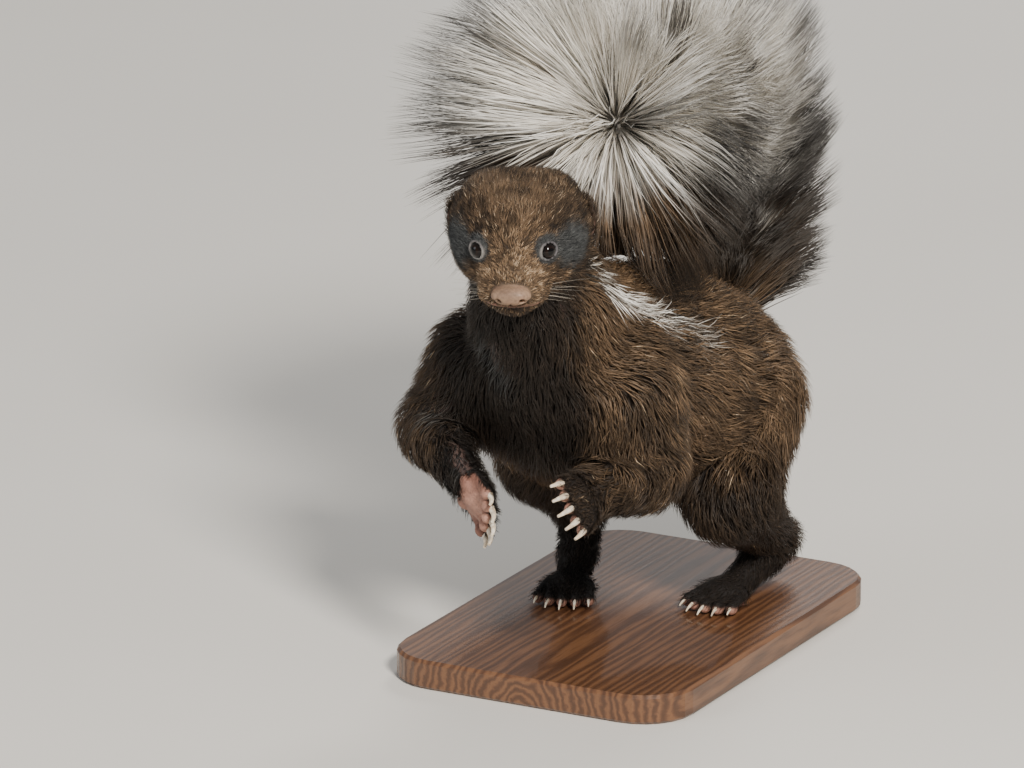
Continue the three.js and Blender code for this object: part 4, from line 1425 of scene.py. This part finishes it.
def shortness(p):
    """Hair shortens towards the eyes and the nose, and is longest on the crown."""
    f, _, u = to_head(p).T
    near_eye = np.min([np.linalg.norm(p - eye.centre, axis=1) for eye in eyes.values()], axis=0)
    short = mix(0.45, 1, smooth(5.5, 13, near_eye)) * mix(0.5, 1, smooth(34, 16, f))
    return short * mix(1, 1.35, smooth(12, 24, u))


def lay(p, normal, lie, length, gather, bend, height, points, settle):
    """Lines of tufts that leave the skin at p. Settled ones follow it along their whole length."""
    lines = [p - normal * ROOT_DEPTH]
    for share in np.linspace(0, 1, points)[1:]:
        place = p + lie * (length * share)[:, None] + gather * share**1.5 + bend * share**2
        target = mix(-ROOT_DEPTH, height, share**0.75)
        if settle:
            for _ in range(2):
                push = np.clip(target - skin_field(place), -6, 6)
                place = place + slope(skin_field, place) * push[:, None]
        else:
            place = place + normal * target[:, None]
        lines.append(place)
    return np.stack(lines, axis=1)


def coat_tones(roots, marks, on_head, clump_chance, points):
    """The markings along each tuft, with dust on its tip and a few tufts of pale grit."""
    p = roots.p
    white, sand, slate = marks
    share = np.linspace(0, 1, points)[None]
    dust = smooth(0.3, 0.9, clump_chance + 0.3 * waves(p, 30, 23))
    dust = dust * smooth(60, 120, p[:, 2]) * smooth(-90, -60, p[:, 1])
    tips = mix(0.26 * dust + 0.04, 0.16 * clump_chance, on_head)
    speckle = 0.24 * on_head * (clump_chance - 0.5)
    sand = (sand + speckle)[:, None] + tips[:, None] * smooth(0.2, 1.0, share)
    grit = ((roots.chance > mix(0.988, 0.97, on_head)) & (sand[:, 0] > 0.25))[:, None] & (share > 0.4)
    sand = np.where(grit, np.maximum(sand, 0.82), sand)
    white, slate = (np.broadcast_to(tone[:, None], sand.shape) for tone in (white, slate))
    return np.stack([white, np.clip(sand, 0, 1), slate], axis=2)


def coat_hairs(roots, points, every, pull, seed, settle):
    """Tufts of a few points each. Every so many share a clump, and pull says how much they lean together."""
    random = np.random.default_rng(seed)
    p, normal = roots.p, roots.normal
    lie, hair, rise, width = weighted_growth(p)
    on_head = smooth(3, 0, PARTS["head"].field(p))
    white, sand, slate = markings(p, roots.part)
    white = white * smooth(0.3, 0.75, roots.chance + 0.15 * white)
    length_here = mix(1, shortness(p), on_head) * (1 + 0.45 * white)
    lie = unit(lie - normal * dot(lie, normal))
    clump, number = nearest_clump(p, every, seed + 1)
    clump_chance = random.random(number.max() + 1)[number]
    clump_bend = random.uniform(-1, 1, number.max() + 1)[number]
    loose = mix(0.15, 0.36, on_head)
    angle = 0.3 * waves(p, 34, 21) + 0.22 * waves(p, 8, 22) + loose * random.normal(size=len(p))
    lie = turned(lie, normal, angle)
    length = hair * length_here * (1 + 0.22 * random.uniform(-1, 1, len(p)))
    height = rise * length_here * (0.8 + 0.5 * random.random(len(p)) + 0.35 * clump_chance)
    gather = clump - p
    gather = (gather - normal * dot(gather, normal)) * pull
    bend = np.cross(normal, lie) * (0.16 * length * clump_bend)[:, None]
    lines = lay(p, normal, lie, length, gather, bend, height, points, settle)
    tones = coat_tones(roots, (white, sand, slate), on_head, clump_chance, points)
    chance = np.clip(0.65 * roots.chance + 0.35 * clump_chance, 0, 1)
    width = width * (0.8 + 0.4 * random.random(len(p)))
    return Hairs(lines, normal, width, tones, chance, roots.place)


fine_roots = Roots(FINE_SPACING, 41)
fine_hairs = coat_hairs(fine_roots, 3, 9, 0.3, 51, settle=False)
is_face = is_kind(fine_roots.part, "head", "ear")
hair_pieces(fine_hairs.chosen(is_face), ["face_fur_right", "face_fur_left"], "face_fur")
hair_pieces(fine_hairs.chosen(~is_face), ["foot_fur"], "dark_coat")

body_roots = Roots(BODY_SPACING, 42)
body_hairs = coat_hairs(body_roots, 4, 12, 0.65, 61, settle=True)
places = ("right_flank", "right_side", "back", "left_side", "left_flank")
hair_pieces(body_hairs, [f"coat_{place}" for place in places], "dark_coat")

# %% [markdown]
# The tail is nearly all hair. Each strand stands out from the tail's line and leans towards its tip, and
# strands of one lock share a lean, a length and a curl, and draw together. They bend clear of the head
# and the back. The hair is cream at its root and black at its tip, as the guard hair of the tail is, and
# the locks on the tail's underside turn from gold to dark brown.

# %% The tail's hair
LOCK_RINGS, LOCKS_AROUND = 26, 20
TAIL_CLEARANCE = 5.0
STRAND_WIDTH = 0.4


def value_at(values, share):
    return np.interp(share, np.linspace(0, 1, len(values)), values)


def tail_frame(share):
    """The tail's line at shares of its length: centre, along, left and over."""
    even = np.linspace(0, 1, len(tail_line))
    centre = np.stack([np.interp(share, even, tail_line[:, n]) for n in range(3)], axis=1)
    run = unit(np.gradient(tail_line, axis=0))
    along_line = unit(np.stack([np.interp(share, even, run[:, n]) for n in range(3)], axis=1))
    left = unit(np.array([[1.0, 0, 0]]) - along_line * along_line[:, :1])
    return centre, along_line, left, np.cross(along_line, left)


def body_under_tail(p):
    """Distance from the body with its coat on, and from the ears."""
    neck = bone(NECK["from"], NECK["to"], *NECK["radii"])
    near = np.minimum(blend(14, trunk_form, neck)(p), head_solid(p))
    for ear in ears.values():
        near = np.minimum(near, np.linalg.norm(p - ear.centre, axis=1) - EAR["half"][2])
    return near


def tail_strand(share, angle, cap, lean_more, longer, curl, sway, parts):
    """Lines of strands from their share of the tail, their angle round it, and how far they cap its end."""
    centre, run, left, over = tail_frame(share)
    out = left * np.cos(angle)[:, None] + over * np.sin(angle)[:, None]
    under = np.maximum(0, -np.sin(angle))
    lean = np.radians(value_at(TAIL["lean"], share) + 7 * lean_more) * (1 - TAIL["under_lean"] * under)
    reach = value_at(TAIL["reach"], share) * (1 + TAIL["under_reach"] * under + 0.08 * longer)
    length = reach / np.cos(lean)
    cap_lean = np.radians(mix(*TAIL["cap_lean"], cap))
    cap_length = mix(*TAIL["cap_length"], cap) * (1 + 0.08 * longer)
    capped = smooth(0.02, 0.25, cap)
    lean, length = mix(lean, cap_lean, capped), mix(length, cap_length, capped)
    flesh = mix(*TAIL["flesh"], share) * 0.8
    direction = out * np.cos(lean)[:, None] + run * np.sin(lean)[:, None]
    flat = run * np.cos(lean)[:, None] - out * np.sin(lean)[:, None]
    across = np.cross(direction, flat)
    lines = []
    for part in parts:
        place = centre + direction * (flesh + (length - flesh) * part)[:, None]
        place = place + flat * (0.2 * length * (0.5 + curl) * (part - part**2))[:, None]
        place = place + across * (0.14 * length * sway * part**2)[:, None]
        place[:, 2] -= 0.07 * length * part**2
        lines.append(place)
    return np.stack(lines, axis=1), flat, direction


def wave_of(random, count, parts):
    """Small bends of single strands, none at the root."""
    start = random.uniform(0, 2 * math.pi, (count, 3, 1))
    turn = start + random.uniform(2.5, 6, (count, 3, 1)) * parts
    bend = (np.sin(turn) - np.sin(turn[:, :, :1])).transpose(0, 2, 1)
    return bend * random.uniform(0.3, 1.7, (count, 1, 1))


def lock_of(share, angle):
    """The ring and column of the lock that a strand belongs to, and the lock's own share and angle."""
    ring = np.minimum((share * LOCK_RINGS).astype(int), LOCK_RINGS - 1)
    shift = 0.5 * (ring % 2)
    column = np.floor((angle / (2 * math.pi)) * LOCKS_AROUND + shift).astype(int)
    lock_share = np.where(share > 0.98, 1.0, (ring + 0.5) / LOCK_RINGS)
    lock_angle = (column + 0.5 - shift) / LOCKS_AROUND * 2 * math.pi
    return ring, column % LOCKS_AROUND, lock_share, lock_angle


def lift_off_body(lines, parts):
    """Moves strands out of the body wherever they dip into it, more towards their tips."""
    for n in np.flatnonzero(parts >= 0.15):
        place = lines[:, n]
        for _ in range(3):
            push = np.clip(TAIL_CLEARANCE * parts[n] - body_under_tail(place), 0, 12)
            deep = push > 0
            if deep.any():
                place[deep] += slope(body_under_tail, place[deep]) * push[deep, None]


def tail_hairs(roots, points, seed):
    """A strand from each root: mostly its own, and partly drawn towards its lock's common line."""
    random = np.random.default_rng(seed)
    away = roots.p[:, None] - tail_line[None, ::2]
    nearest = np.argmin(np.linalg.norm(away, axis=2), axis=1) * 2
    share = nearest / (len(tail_line) - 1)
    centre, run, left, over = tail_frame(share)
    radial = roots.p - centre
    angle = np.arctan2(np.sum(radial * over, axis=1), np.sum(radial * left, axis=1))
    share = np.clip(share + np.sum(radial * run, axis=1) / TAIL_LENGTH * (share < 1), 0, 1)
    cap = np.where(share > 0.99, np.clip(np.sum(roots.normal * run, axis=1), 0, 1), 0)
    ring, column, lock_share, lock_angle = lock_of(share, angle)
    of_lock = random.uniform(-1, 1, (6, LOCK_RINGS, LOCKS_AROUND))[:, ring, column]
    own = random.uniform(-1, 1, (4, len(share)))
    habit = [0.75 * of_lock[n] + 0.4 * own[n] for n in range(4)]
    parts = np.linspace(0, 1, points)
    mine, flat, direction = tail_strand(share, angle + 0.1 * own[0], cap, *habit, parts)
    shared, _, _ = tail_strand(lock_share, lock_angle, cap, *of_lock[:4], parts)
    lines = mix(mine, shared, 0.42 * parts[None, :, None] ** 0.8)
    lines += roots.p[:, None] - lines[:, :1] - roots.normal[:, None] * 0.3
    lines += wave_of(random, len(share), parts)
    lift_off_body(lines, parts)
    tones = tail_tones(share, direction, of_lock, roots, parts)
    twist = 0.9 * of_lock[4] + 0.5 * random.uniform(-1, 1, len(share))
    flat = turned(flat, direction, twist)
    width = STRAND_WIDTH * (0.7 + 0.6 * random.random(len(share)))
    chance = np.clip(0.5 * roots.chance + 0.5 * (of_lock[5] + 1) / 2, 0, 1)
    # The tail's strands get less painted shade at their roots than the coat's tufts.
    return Hairs(lines, flat, width, tones, chance, roots.place, root_light=0.5)


def tail_tones(share, direction, of_lock, roots, parts):
    """Cream at the root, then black at the tip, gold and brown under the tail, and dark at its base."""
    downward = smooth(-0.1, 0.6, -direction[:, 2])
    facing = smooth(0.7, 0.97, -direction[:, 1])
    aside = smooth(0.55, 0.95, np.abs(direction[:, 0]))
    turn = mix(0.84, 0.34, downward) - 0.15 * aside + 0.1 * of_lock[5]
    turn = turn + 0.1 * (roots.chance - 0.5) + 0.3 * facing
    turn = turn * smooth(0.1, 0.5, share)
    white = 1 - smooth((turn - 0.12)[:, None], (turn + 0.12)[:, None], parts[None])
    streak = (of_lock[4] > 0.92)[:, None]
    white = np.where(streak, white * 0.35, white) * (0.8 + 0.2 * smooth(0.0, 0.25, parts[None]))
    golden = np.clip(downward + 0.5 * smooth(0.45, 0.1, share), 0, 1)
    sand = np.clip(0.14 + 0.42 * golden[:, None] * smooth(1.0, 0.45, parts[None]), 0, 0.7)
    sand = np.maximum(sand, 0.55 * smooth(0.3, 0.0, parts[None]))
    slate = 0.5 * (1 - golden)[:, None] * smooth(0.3, 0.7, parts[None]) * (1 - white)
    return np.stack([white, np.broadcast_to(sand, white.shape), slate], axis=2)


strands = tail_hairs(Roots(TAIL_SPACING, 43), 5, 71)
hair_pieces(strands, ["tail_hair_right", "tail_hair_middle", "tail_hair_left"], "tail_hair")

# %% [markdown]
# The eyes are balls with a clear bulge in front, nearly black, and wet. A dark brown iris shows only close
# up. They stay pieces of their own, set in the sockets that the lids leave open. The same nets as for
# the skin make them, because a plain sphere has no bulge to catch the light.

# %% Eyes
EYE_CELL, EYE_ROOM = 0.35, 6
# From the pupil's middle, past the iris, to the white of the eye, which is dark too.
EYE_TONES = [
    (0.0, colour("050405")),
    (0.5, colour("060505")),
    (0.56, colour("1d120c")),
    (0.8, colour("120b08")),
    (1.0, colour("0b0807")),
]


def eye_material():
    shader = Shader("eye")
    ring = shader.parts_of("hair")[0]
    return shader.finish(
        Base_Color=shader.ramp(ring, EYE_TONES),
        Roughness=0.08,
        Specular_IOR_Level=0.1,
        Coat_Weight=0.3,
        Coat_Roughness=0.02,
    )


def make_eye(name, eye, material):
    centre, radius = eye.centre, EYE["radius"]
    bulge = ball(centre + eye.out * EYE["bulge_out"], [radius * EYE["bulge_share"]] * 3)
    field = blend(1.2, ball(centre, [radius] * 3), bulge)
    points, faces = net(field, centre - EYE_ROOM, centre + EYE_ROOM, EYE_CELL)
    thing = mesh_object(f"eye_ball_{name}", settled(points, field), [faces])
    out, across, up = eye.local(points_of(thing)).T
    ring = np.clip(np.hypot(across, up) / EYE["iris"], 0, 1) * (out > 0) + (out <= 0)
    give(thing, "hair", np.stack([ring, ring, ring], axis=1))
    thing.data.materials.append(material)
    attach(thing, "root")
    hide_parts(f"eye_{name}")
    print(thing.name, triangle_count(thing), "triangles")


eye_finish = eye_material()
for name, eye in eyes.items():
    make_eye(name, eye, eye_finish)

# %% [markdown]
# Claws and whiskers are alike: a tube that tapers along a curve. One Geometry Nodes tree makes both, from
# the curves' own points, with its radius, taper and number of sides as named inputs. A bevelled curve
# with a taper object would do too, but it needs a second object for each taper. The curves come from
# the paws' own toes, and from rows of dots on the whisker pads.

# %% A tree that turns curves into tapered tubes
TUBE_INPUTS = (
    ("Radius", "NodeSocketFloat", 0.001),
    ("Tip", "NodeSocketFloat", 0.1),
    ("Sides", "NodeSocketInt", 8),
    ("Steps", "NodeSocketInt", 10),
    ("Material", "NodeSocketMaterial", None),
)


def tapered_tree():
    tree = bpy.data.node_groups.new("tapered_tubes", "GeometryNodeTree")
    sockets = tree.interface
    sockets.new_socket("Geometry", in_out="INPUT", socket_type="NodeSocketGeometry")
    for name, kind, value in TUBE_INPUTS:
        socket = sockets.new_socket(name, in_out="INPUT", socket_type=kind)
        if value is not None:
            socket.default_value = value
    sockets.new_socket("Geometry", in_out="OUTPUT", socket_type="NodeSocketGeometry")

    def node(kind):
        return tree.nodes.new(kind)

    start, end = node("NodeGroupInput"), node("NodeGroupOutput")
    resample = node("GeometryNodeResampleCurve")
    share = node("GeometryNodeSplineParameter")
    taper = node("ShaderNodeMapRange")
    taper.inputs["To Min"].default_value = 1.0
    radius = node("ShaderNodeMath")
    radius.operation = "MULTIPLY"
    circle = node("GeometryNodeCurvePrimitiveCircle")
    circle.inputs["Radius"].default_value = 1.0
    tube = node("GeometryNodeCurveToMesh")
    tube.inputs["Fill Caps"].default_value = True
    smooth_sides = node("GeometryNodeSetShadeSmooth")
    realize = node("GeometryNodeRealizeInstances")
    paint = node("GeometryNodeSetMaterial")
    for output, socket in (
        (start.outputs["Geometry"], resample.inputs["Curve"]),
        (start.outputs["Steps"], resample.inputs["Count"]),
        (share.outputs["Factor"], taper.inputs["Value"]),
        (start.outputs["Tip"], taper.inputs["To Max"]),
        (taper.outputs[0], radius.inputs[0]),
        (start.outputs["Radius"], radius.inputs[1]),
        (start.outputs["Sides"], circle.inputs["Resolution"]),
        (resample.outputs[0], tube.inputs["Curve"]),
        (circle.outputs[0], tube.inputs["Profile Curve"]),
        (radius.outputs[0], tube.inputs["Scale"]),
        (tube.outputs[0], smooth_sides.inputs[0]),
        (smooth_sides.outputs[0], realize.inputs[0]),
        (realize.outputs[0], paint.inputs["Geometry"]),
        (start.outputs["Material"], paint.inputs["Material"]),
        (paint.outputs[0], end.inputs[0]),
    ):
        tree.links.new(output, socket)
    print("tube tree:", len(tree.nodes), "nodes")
    return tree


TUBES = tapered_tree()


def tubes_along(name, lines, material, slot, **values):
    """A mesh of tapered tubes along lines of points, given in the animal's millimetres."""
    curve = bpy.data.curves.new(name, "CURVE")
    curve.dimensions = "3D"
    for line in lines:
        spline = curve.splines.new("POLY")
        spline.points.add(len(line) - 1)
        places = np.hstack([(np.array(line) + TO_FRAME) * MM, np.ones((len(line), 1))])
        spline.points.foreach_set("co", places.astype(np.float32).ravel())
    source = bpy.data.objects.new(name + "_lines", curve)
    bpy.context.scene.collection.objects.link(source)
    maker = source.modifiers.new("tubes", "NODES")
    maker.node_group = TUBES
    sockets = [item for item in TUBES.interface.items_tree if item.in_out == "INPUT"]
    identifiers = {socket.name: socket.identifier for socket in sockets}
    for key, value in {"Material": material, **values}.items():
        maker[identifiers[key]] = value
    graph = bpy.context.evaluated_depsgraph_get()
    mesh = bpy.data.meshes.new_from_object(source.evaluated_get(graph))
    thing = bpy.data.objects.new(name, mesh)
    bpy.context.scene.collection.objects.link(thing)
    bpy.data.objects.remove(source)
    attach(thing, "root")
    print(name, len(lines), "tubes,", triangle_count(thing), "triangles")


# %% [markdown]
# A skunk digs, so its foreclaws are long and blunt and its hind claws short and sharper. Each is one tube
# along a quadratic curve that leaves the toe straight and hooks down at its end. The horn is pale, with
# fine streaks along it and dirt in places. The whiskers are few, short and thin, three rows on each pad,
# and droop a little.

# %% Claws and whiskers
HORN = colour("cdb89b"), colour("ece1cf")
DIRT = colour("6d5140")
WHISKER = {"Radius": 0.1 * MM, "Tip": 0.15, "Sides": 5, "Steps": 9}


def claw_material():
    shader = Shader("claw")
    place = shader.place()
    streak = shader.noise(place, 420, 4)
    dirt = shader.noise(place, 160, 3)
    shade = shader.blended(streak.between(0.3, 0.7), *HORN)
    shade = shader.blended(dirt.between(0.5, 0.72) * 0.6, shade, DIRT)
    bump = shader.bumped(streak, 0.0002, 0.5)
    return shader.finish(Base_Color=shade, Roughness=0.42, Specular_IOR_Level=0.5, Normal=bump)


def claw_lines(paw):
    lines = []
    for root, direction, reach in paw.toes:
        length = paw.claw["length"] * reach
        start = root - direction * 2.2
        middle = root + direction * length * 0.62
        tip = root + direction * length + paw.palm * length * 0.42
        t = np.linspace(0, 1, 9)[:, None]
        lines.append((1 - t) ** 2 * start + 2 * t * (1 - t) * middle + t**2 * tip)
    return lines


def whisker_lines(seed):
    random = np.random.default_rng(seed)
    lines = []
    for side in SIDES.values():
        for row in range(3):
            for column in range(3):
                root = from_head((29 - 2.6 * column, side * (8.6 + 1.1 * column), -7.6 - 2.1 * row))
                root = root - slope(face, root[None])[0] * (face(root[None])[0] + 0.4)
                aim = np.array([-0.25 - 0.16 * column, side * 1.0, -0.1 - 0.12 * row])
                aim = unit(aim + random.normal(0, 0.09, 3)) @ AXES
                length = 15 + 3.2 * column + 4 * random.random()
                t = np.linspace(0, 1, 8)[:, None]
                droop = np.array([0, 0, -1.0]) * length * 0.14 - AXES[0] * length * 0.12
                lines.append(root + aim * length * t + droop * t**2)
    return lines


claw_finish = claw_material()
for (_, _, end), _, paws in LIMBS:
    for side, paw in paws.items():
        sizes = {"Radius": paw.claw["radius"] * MM, "Tip": paw.claw["tip"], "Sides": 10, "Steps": 12}
        tubes_along(f"claws_{end}_{side}", claw_lines(paw), claw_finish, "claw", **sizes)


def whisker_material():
    shader = Shader("whisker")
    fade = shader.noise(shader.place(), 300, 2)
    shade = shader.blended(fade, colour("6b6258"), colour("bfb6a8"))
    return shader.finish(Base_Color=shade, Roughness=0.4)


tubes_along("whiskers", whisker_lines(81), whisker_material(), "face_fur", **WHISKER)

# %% [markdown]
# The animal is one closed skin, so that skin takes the place of all the solids of its flesh at once. The
# coat's pieces are its hair and replace nothing. Nothing moves on a still model, so each piece rides on
# the one body.

# %% The skin stands for every node of flesh
flesh_nodes = [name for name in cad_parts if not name.startswith(("stand_", "eye_"))]
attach(skin, "root")
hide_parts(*flesh_nodes)
print("the skin stands for", len(flesh_nodes), "nodes")

# %% [markdown]
# The base is a plain slab of stained oak with a satin finish. Its solid has the right shape, so it only gets
# a material: long grain along the slab, fine pores, and a bump from the same pattern. The grain comes from
# rings round an axis along the slab, as a plank cut from a trunk shows them.

# %% The base's wood
WOOD_TONES = [(0.2, colour("4a2f1d")), (0.5, colour("5c3c26")), (0.8, colour("6f4b30"))]
PORES = colour("2e1b10")


def wood_material():
    shader = Shader("base_wood")
    place = shader.place()
    stretched = shader.stretched(place, (9.0, 1.0, 9.0))
    bend = shader.noise(stretched, 14, 4)
    wave = {"Vector": stretched, "Scale": 9.0, "Distortion": 7.0, "Detail": 3.0, "Detail Scale": 1.6}
    rings = shader.value("ShaderNodeTexWave", 1, {"wave_type": "RINGS", "rings_direction": "Y"}, wave)
    pores = shader.noise(shader.stretched(place, (60.0, 4.0, 60.0)), 18, 3)
    grain = rings * 0.6 + bend * 0.4
    shade = shader.ramp(grain, WOOD_TONES)
    shade = shader.blended(pores.between(0.55, 0.75) * 0.4, shade, PORES)
    bump = shader.bumped(grain * 0.4 + pores * 0.6, 0.0004, 0.35)
    return shader.finish(Base_Color=shade, Roughness=0.34 + 0.2 * pores, Coat_Weight=0.3, Normal=bump)


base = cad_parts["stand_base"]
base.data.materials.clear()
base.data.materials.append(wood_material())

# %% [markdown]
# The stage is a flat, pale floor. The light is soft: a key from the upper right, which is the strongest
# and small enough to draw the hair, a wide and cooler fill from the left, and a little from behind for
# the outline. The camera stands 4 m away and looks down a little, with a lens long enough for the frame.

# %% Floor, light and camera
FLOOR_REACH = 6.0
LOOK_AT = Vector((0, -0.05, 0.15))


def make_floor():
    mesh = bpy.data.meshes.new("floor")
    corners = [(x * FLOOR_REACH, y * FLOOR_REACH, 0) for x, y in ((-1, -1), (1, -1), (1, 1), (-1, 1))]
    mesh.from_pydata(corners, [], [(0, 1, 2, 3)])
    floor = bpy.data.objects.new("floor", mesh)
    bpy.context.scene.collection.objects.link(floor)
    shader = Shader("floor")
    tint = shader.noise(shader.place(), 3, 2)
    shade = shader.blended(tint, colour("cfcac2"), colour("d8d4cd"))
    floor.data.materials.append(shader.finish(Base_Color=shade, Roughness=0.85))


def area_light(name, place, size, power, tint):
    light = bpy.data.lights.new(name, "AREA")
    light.shape = "DISK"
    light.size, light.energy, light.color = size, power, tint
    thing = bpy.data.objects.new(name, light)
    thing.location = place
    thing.rotation_euler = (LOOK_AT - Vector(place)).to_track_quat("-Z", "Y").to_euler()
    bpy.context.scene.collection.objects.link(thing)


make_floor()
area_light("key", (1.7, -1.7, 1.9), 0.6, 145, (1.0, 0.96, 0.9))
area_light("fill", (-1.6, -2.2, 1.2), 1.6, 22, (0.9, 0.95, 1.0))
area_light("rim", (-0.4, 2.2, 1.8), 0.9, 34, (1.0, 0.98, 0.95))
world = bpy.data.worlds.new("studio")
world.use_nodes = True
sky = world.node_tree.nodes["Background"]
sky.inputs["Color"].default_value = (0.9, 0.92, 0.95, 1.0)
sky.inputs["Strength"].default_value = 0.35
bpy.context.scene.world = world

CAMERA = {"azimuth": 28, "elevation": 17, "distance": 4.0}
CAMERA_TARGET = Vector((0, -118.984, 156.351))
MM_PER_PIXEL = 0.45
IMAGE_WIDTH = 1024
SENSOR = 36.0


def make_camera():
    azimuth, elevation = math.radians(CAMERA["azimuth"]), math.radians(CAMERA["elevation"])
    level = math.cos(elevation)
    back = Vector((math.sin(azimuth) * level, -math.cos(azimuth) * level, math.sin(elevation)))
    data = bpy.data.cameras.new("camera")
    data.sensor_width = SENSOR
    data.lens = SENSOR * CAMERA["distance"] / (IMAGE_WIDTH * MM_PER_PIXEL * MM)
    data.clip_end = 100
    camera = bpy.data.objects.new("camera", data)
    camera.location = CAMERA_TARGET * MM + back * CAMERA["distance"]
    camera.rotation_euler = back.to_track_quat("Z", "Y").to_euler()
    bpy.context.scene.collection.objects.link(camera)
    bpy.context.scene.camera = camera
    print("camera lens", round(data.lens, 1), "mm")


make_camera()
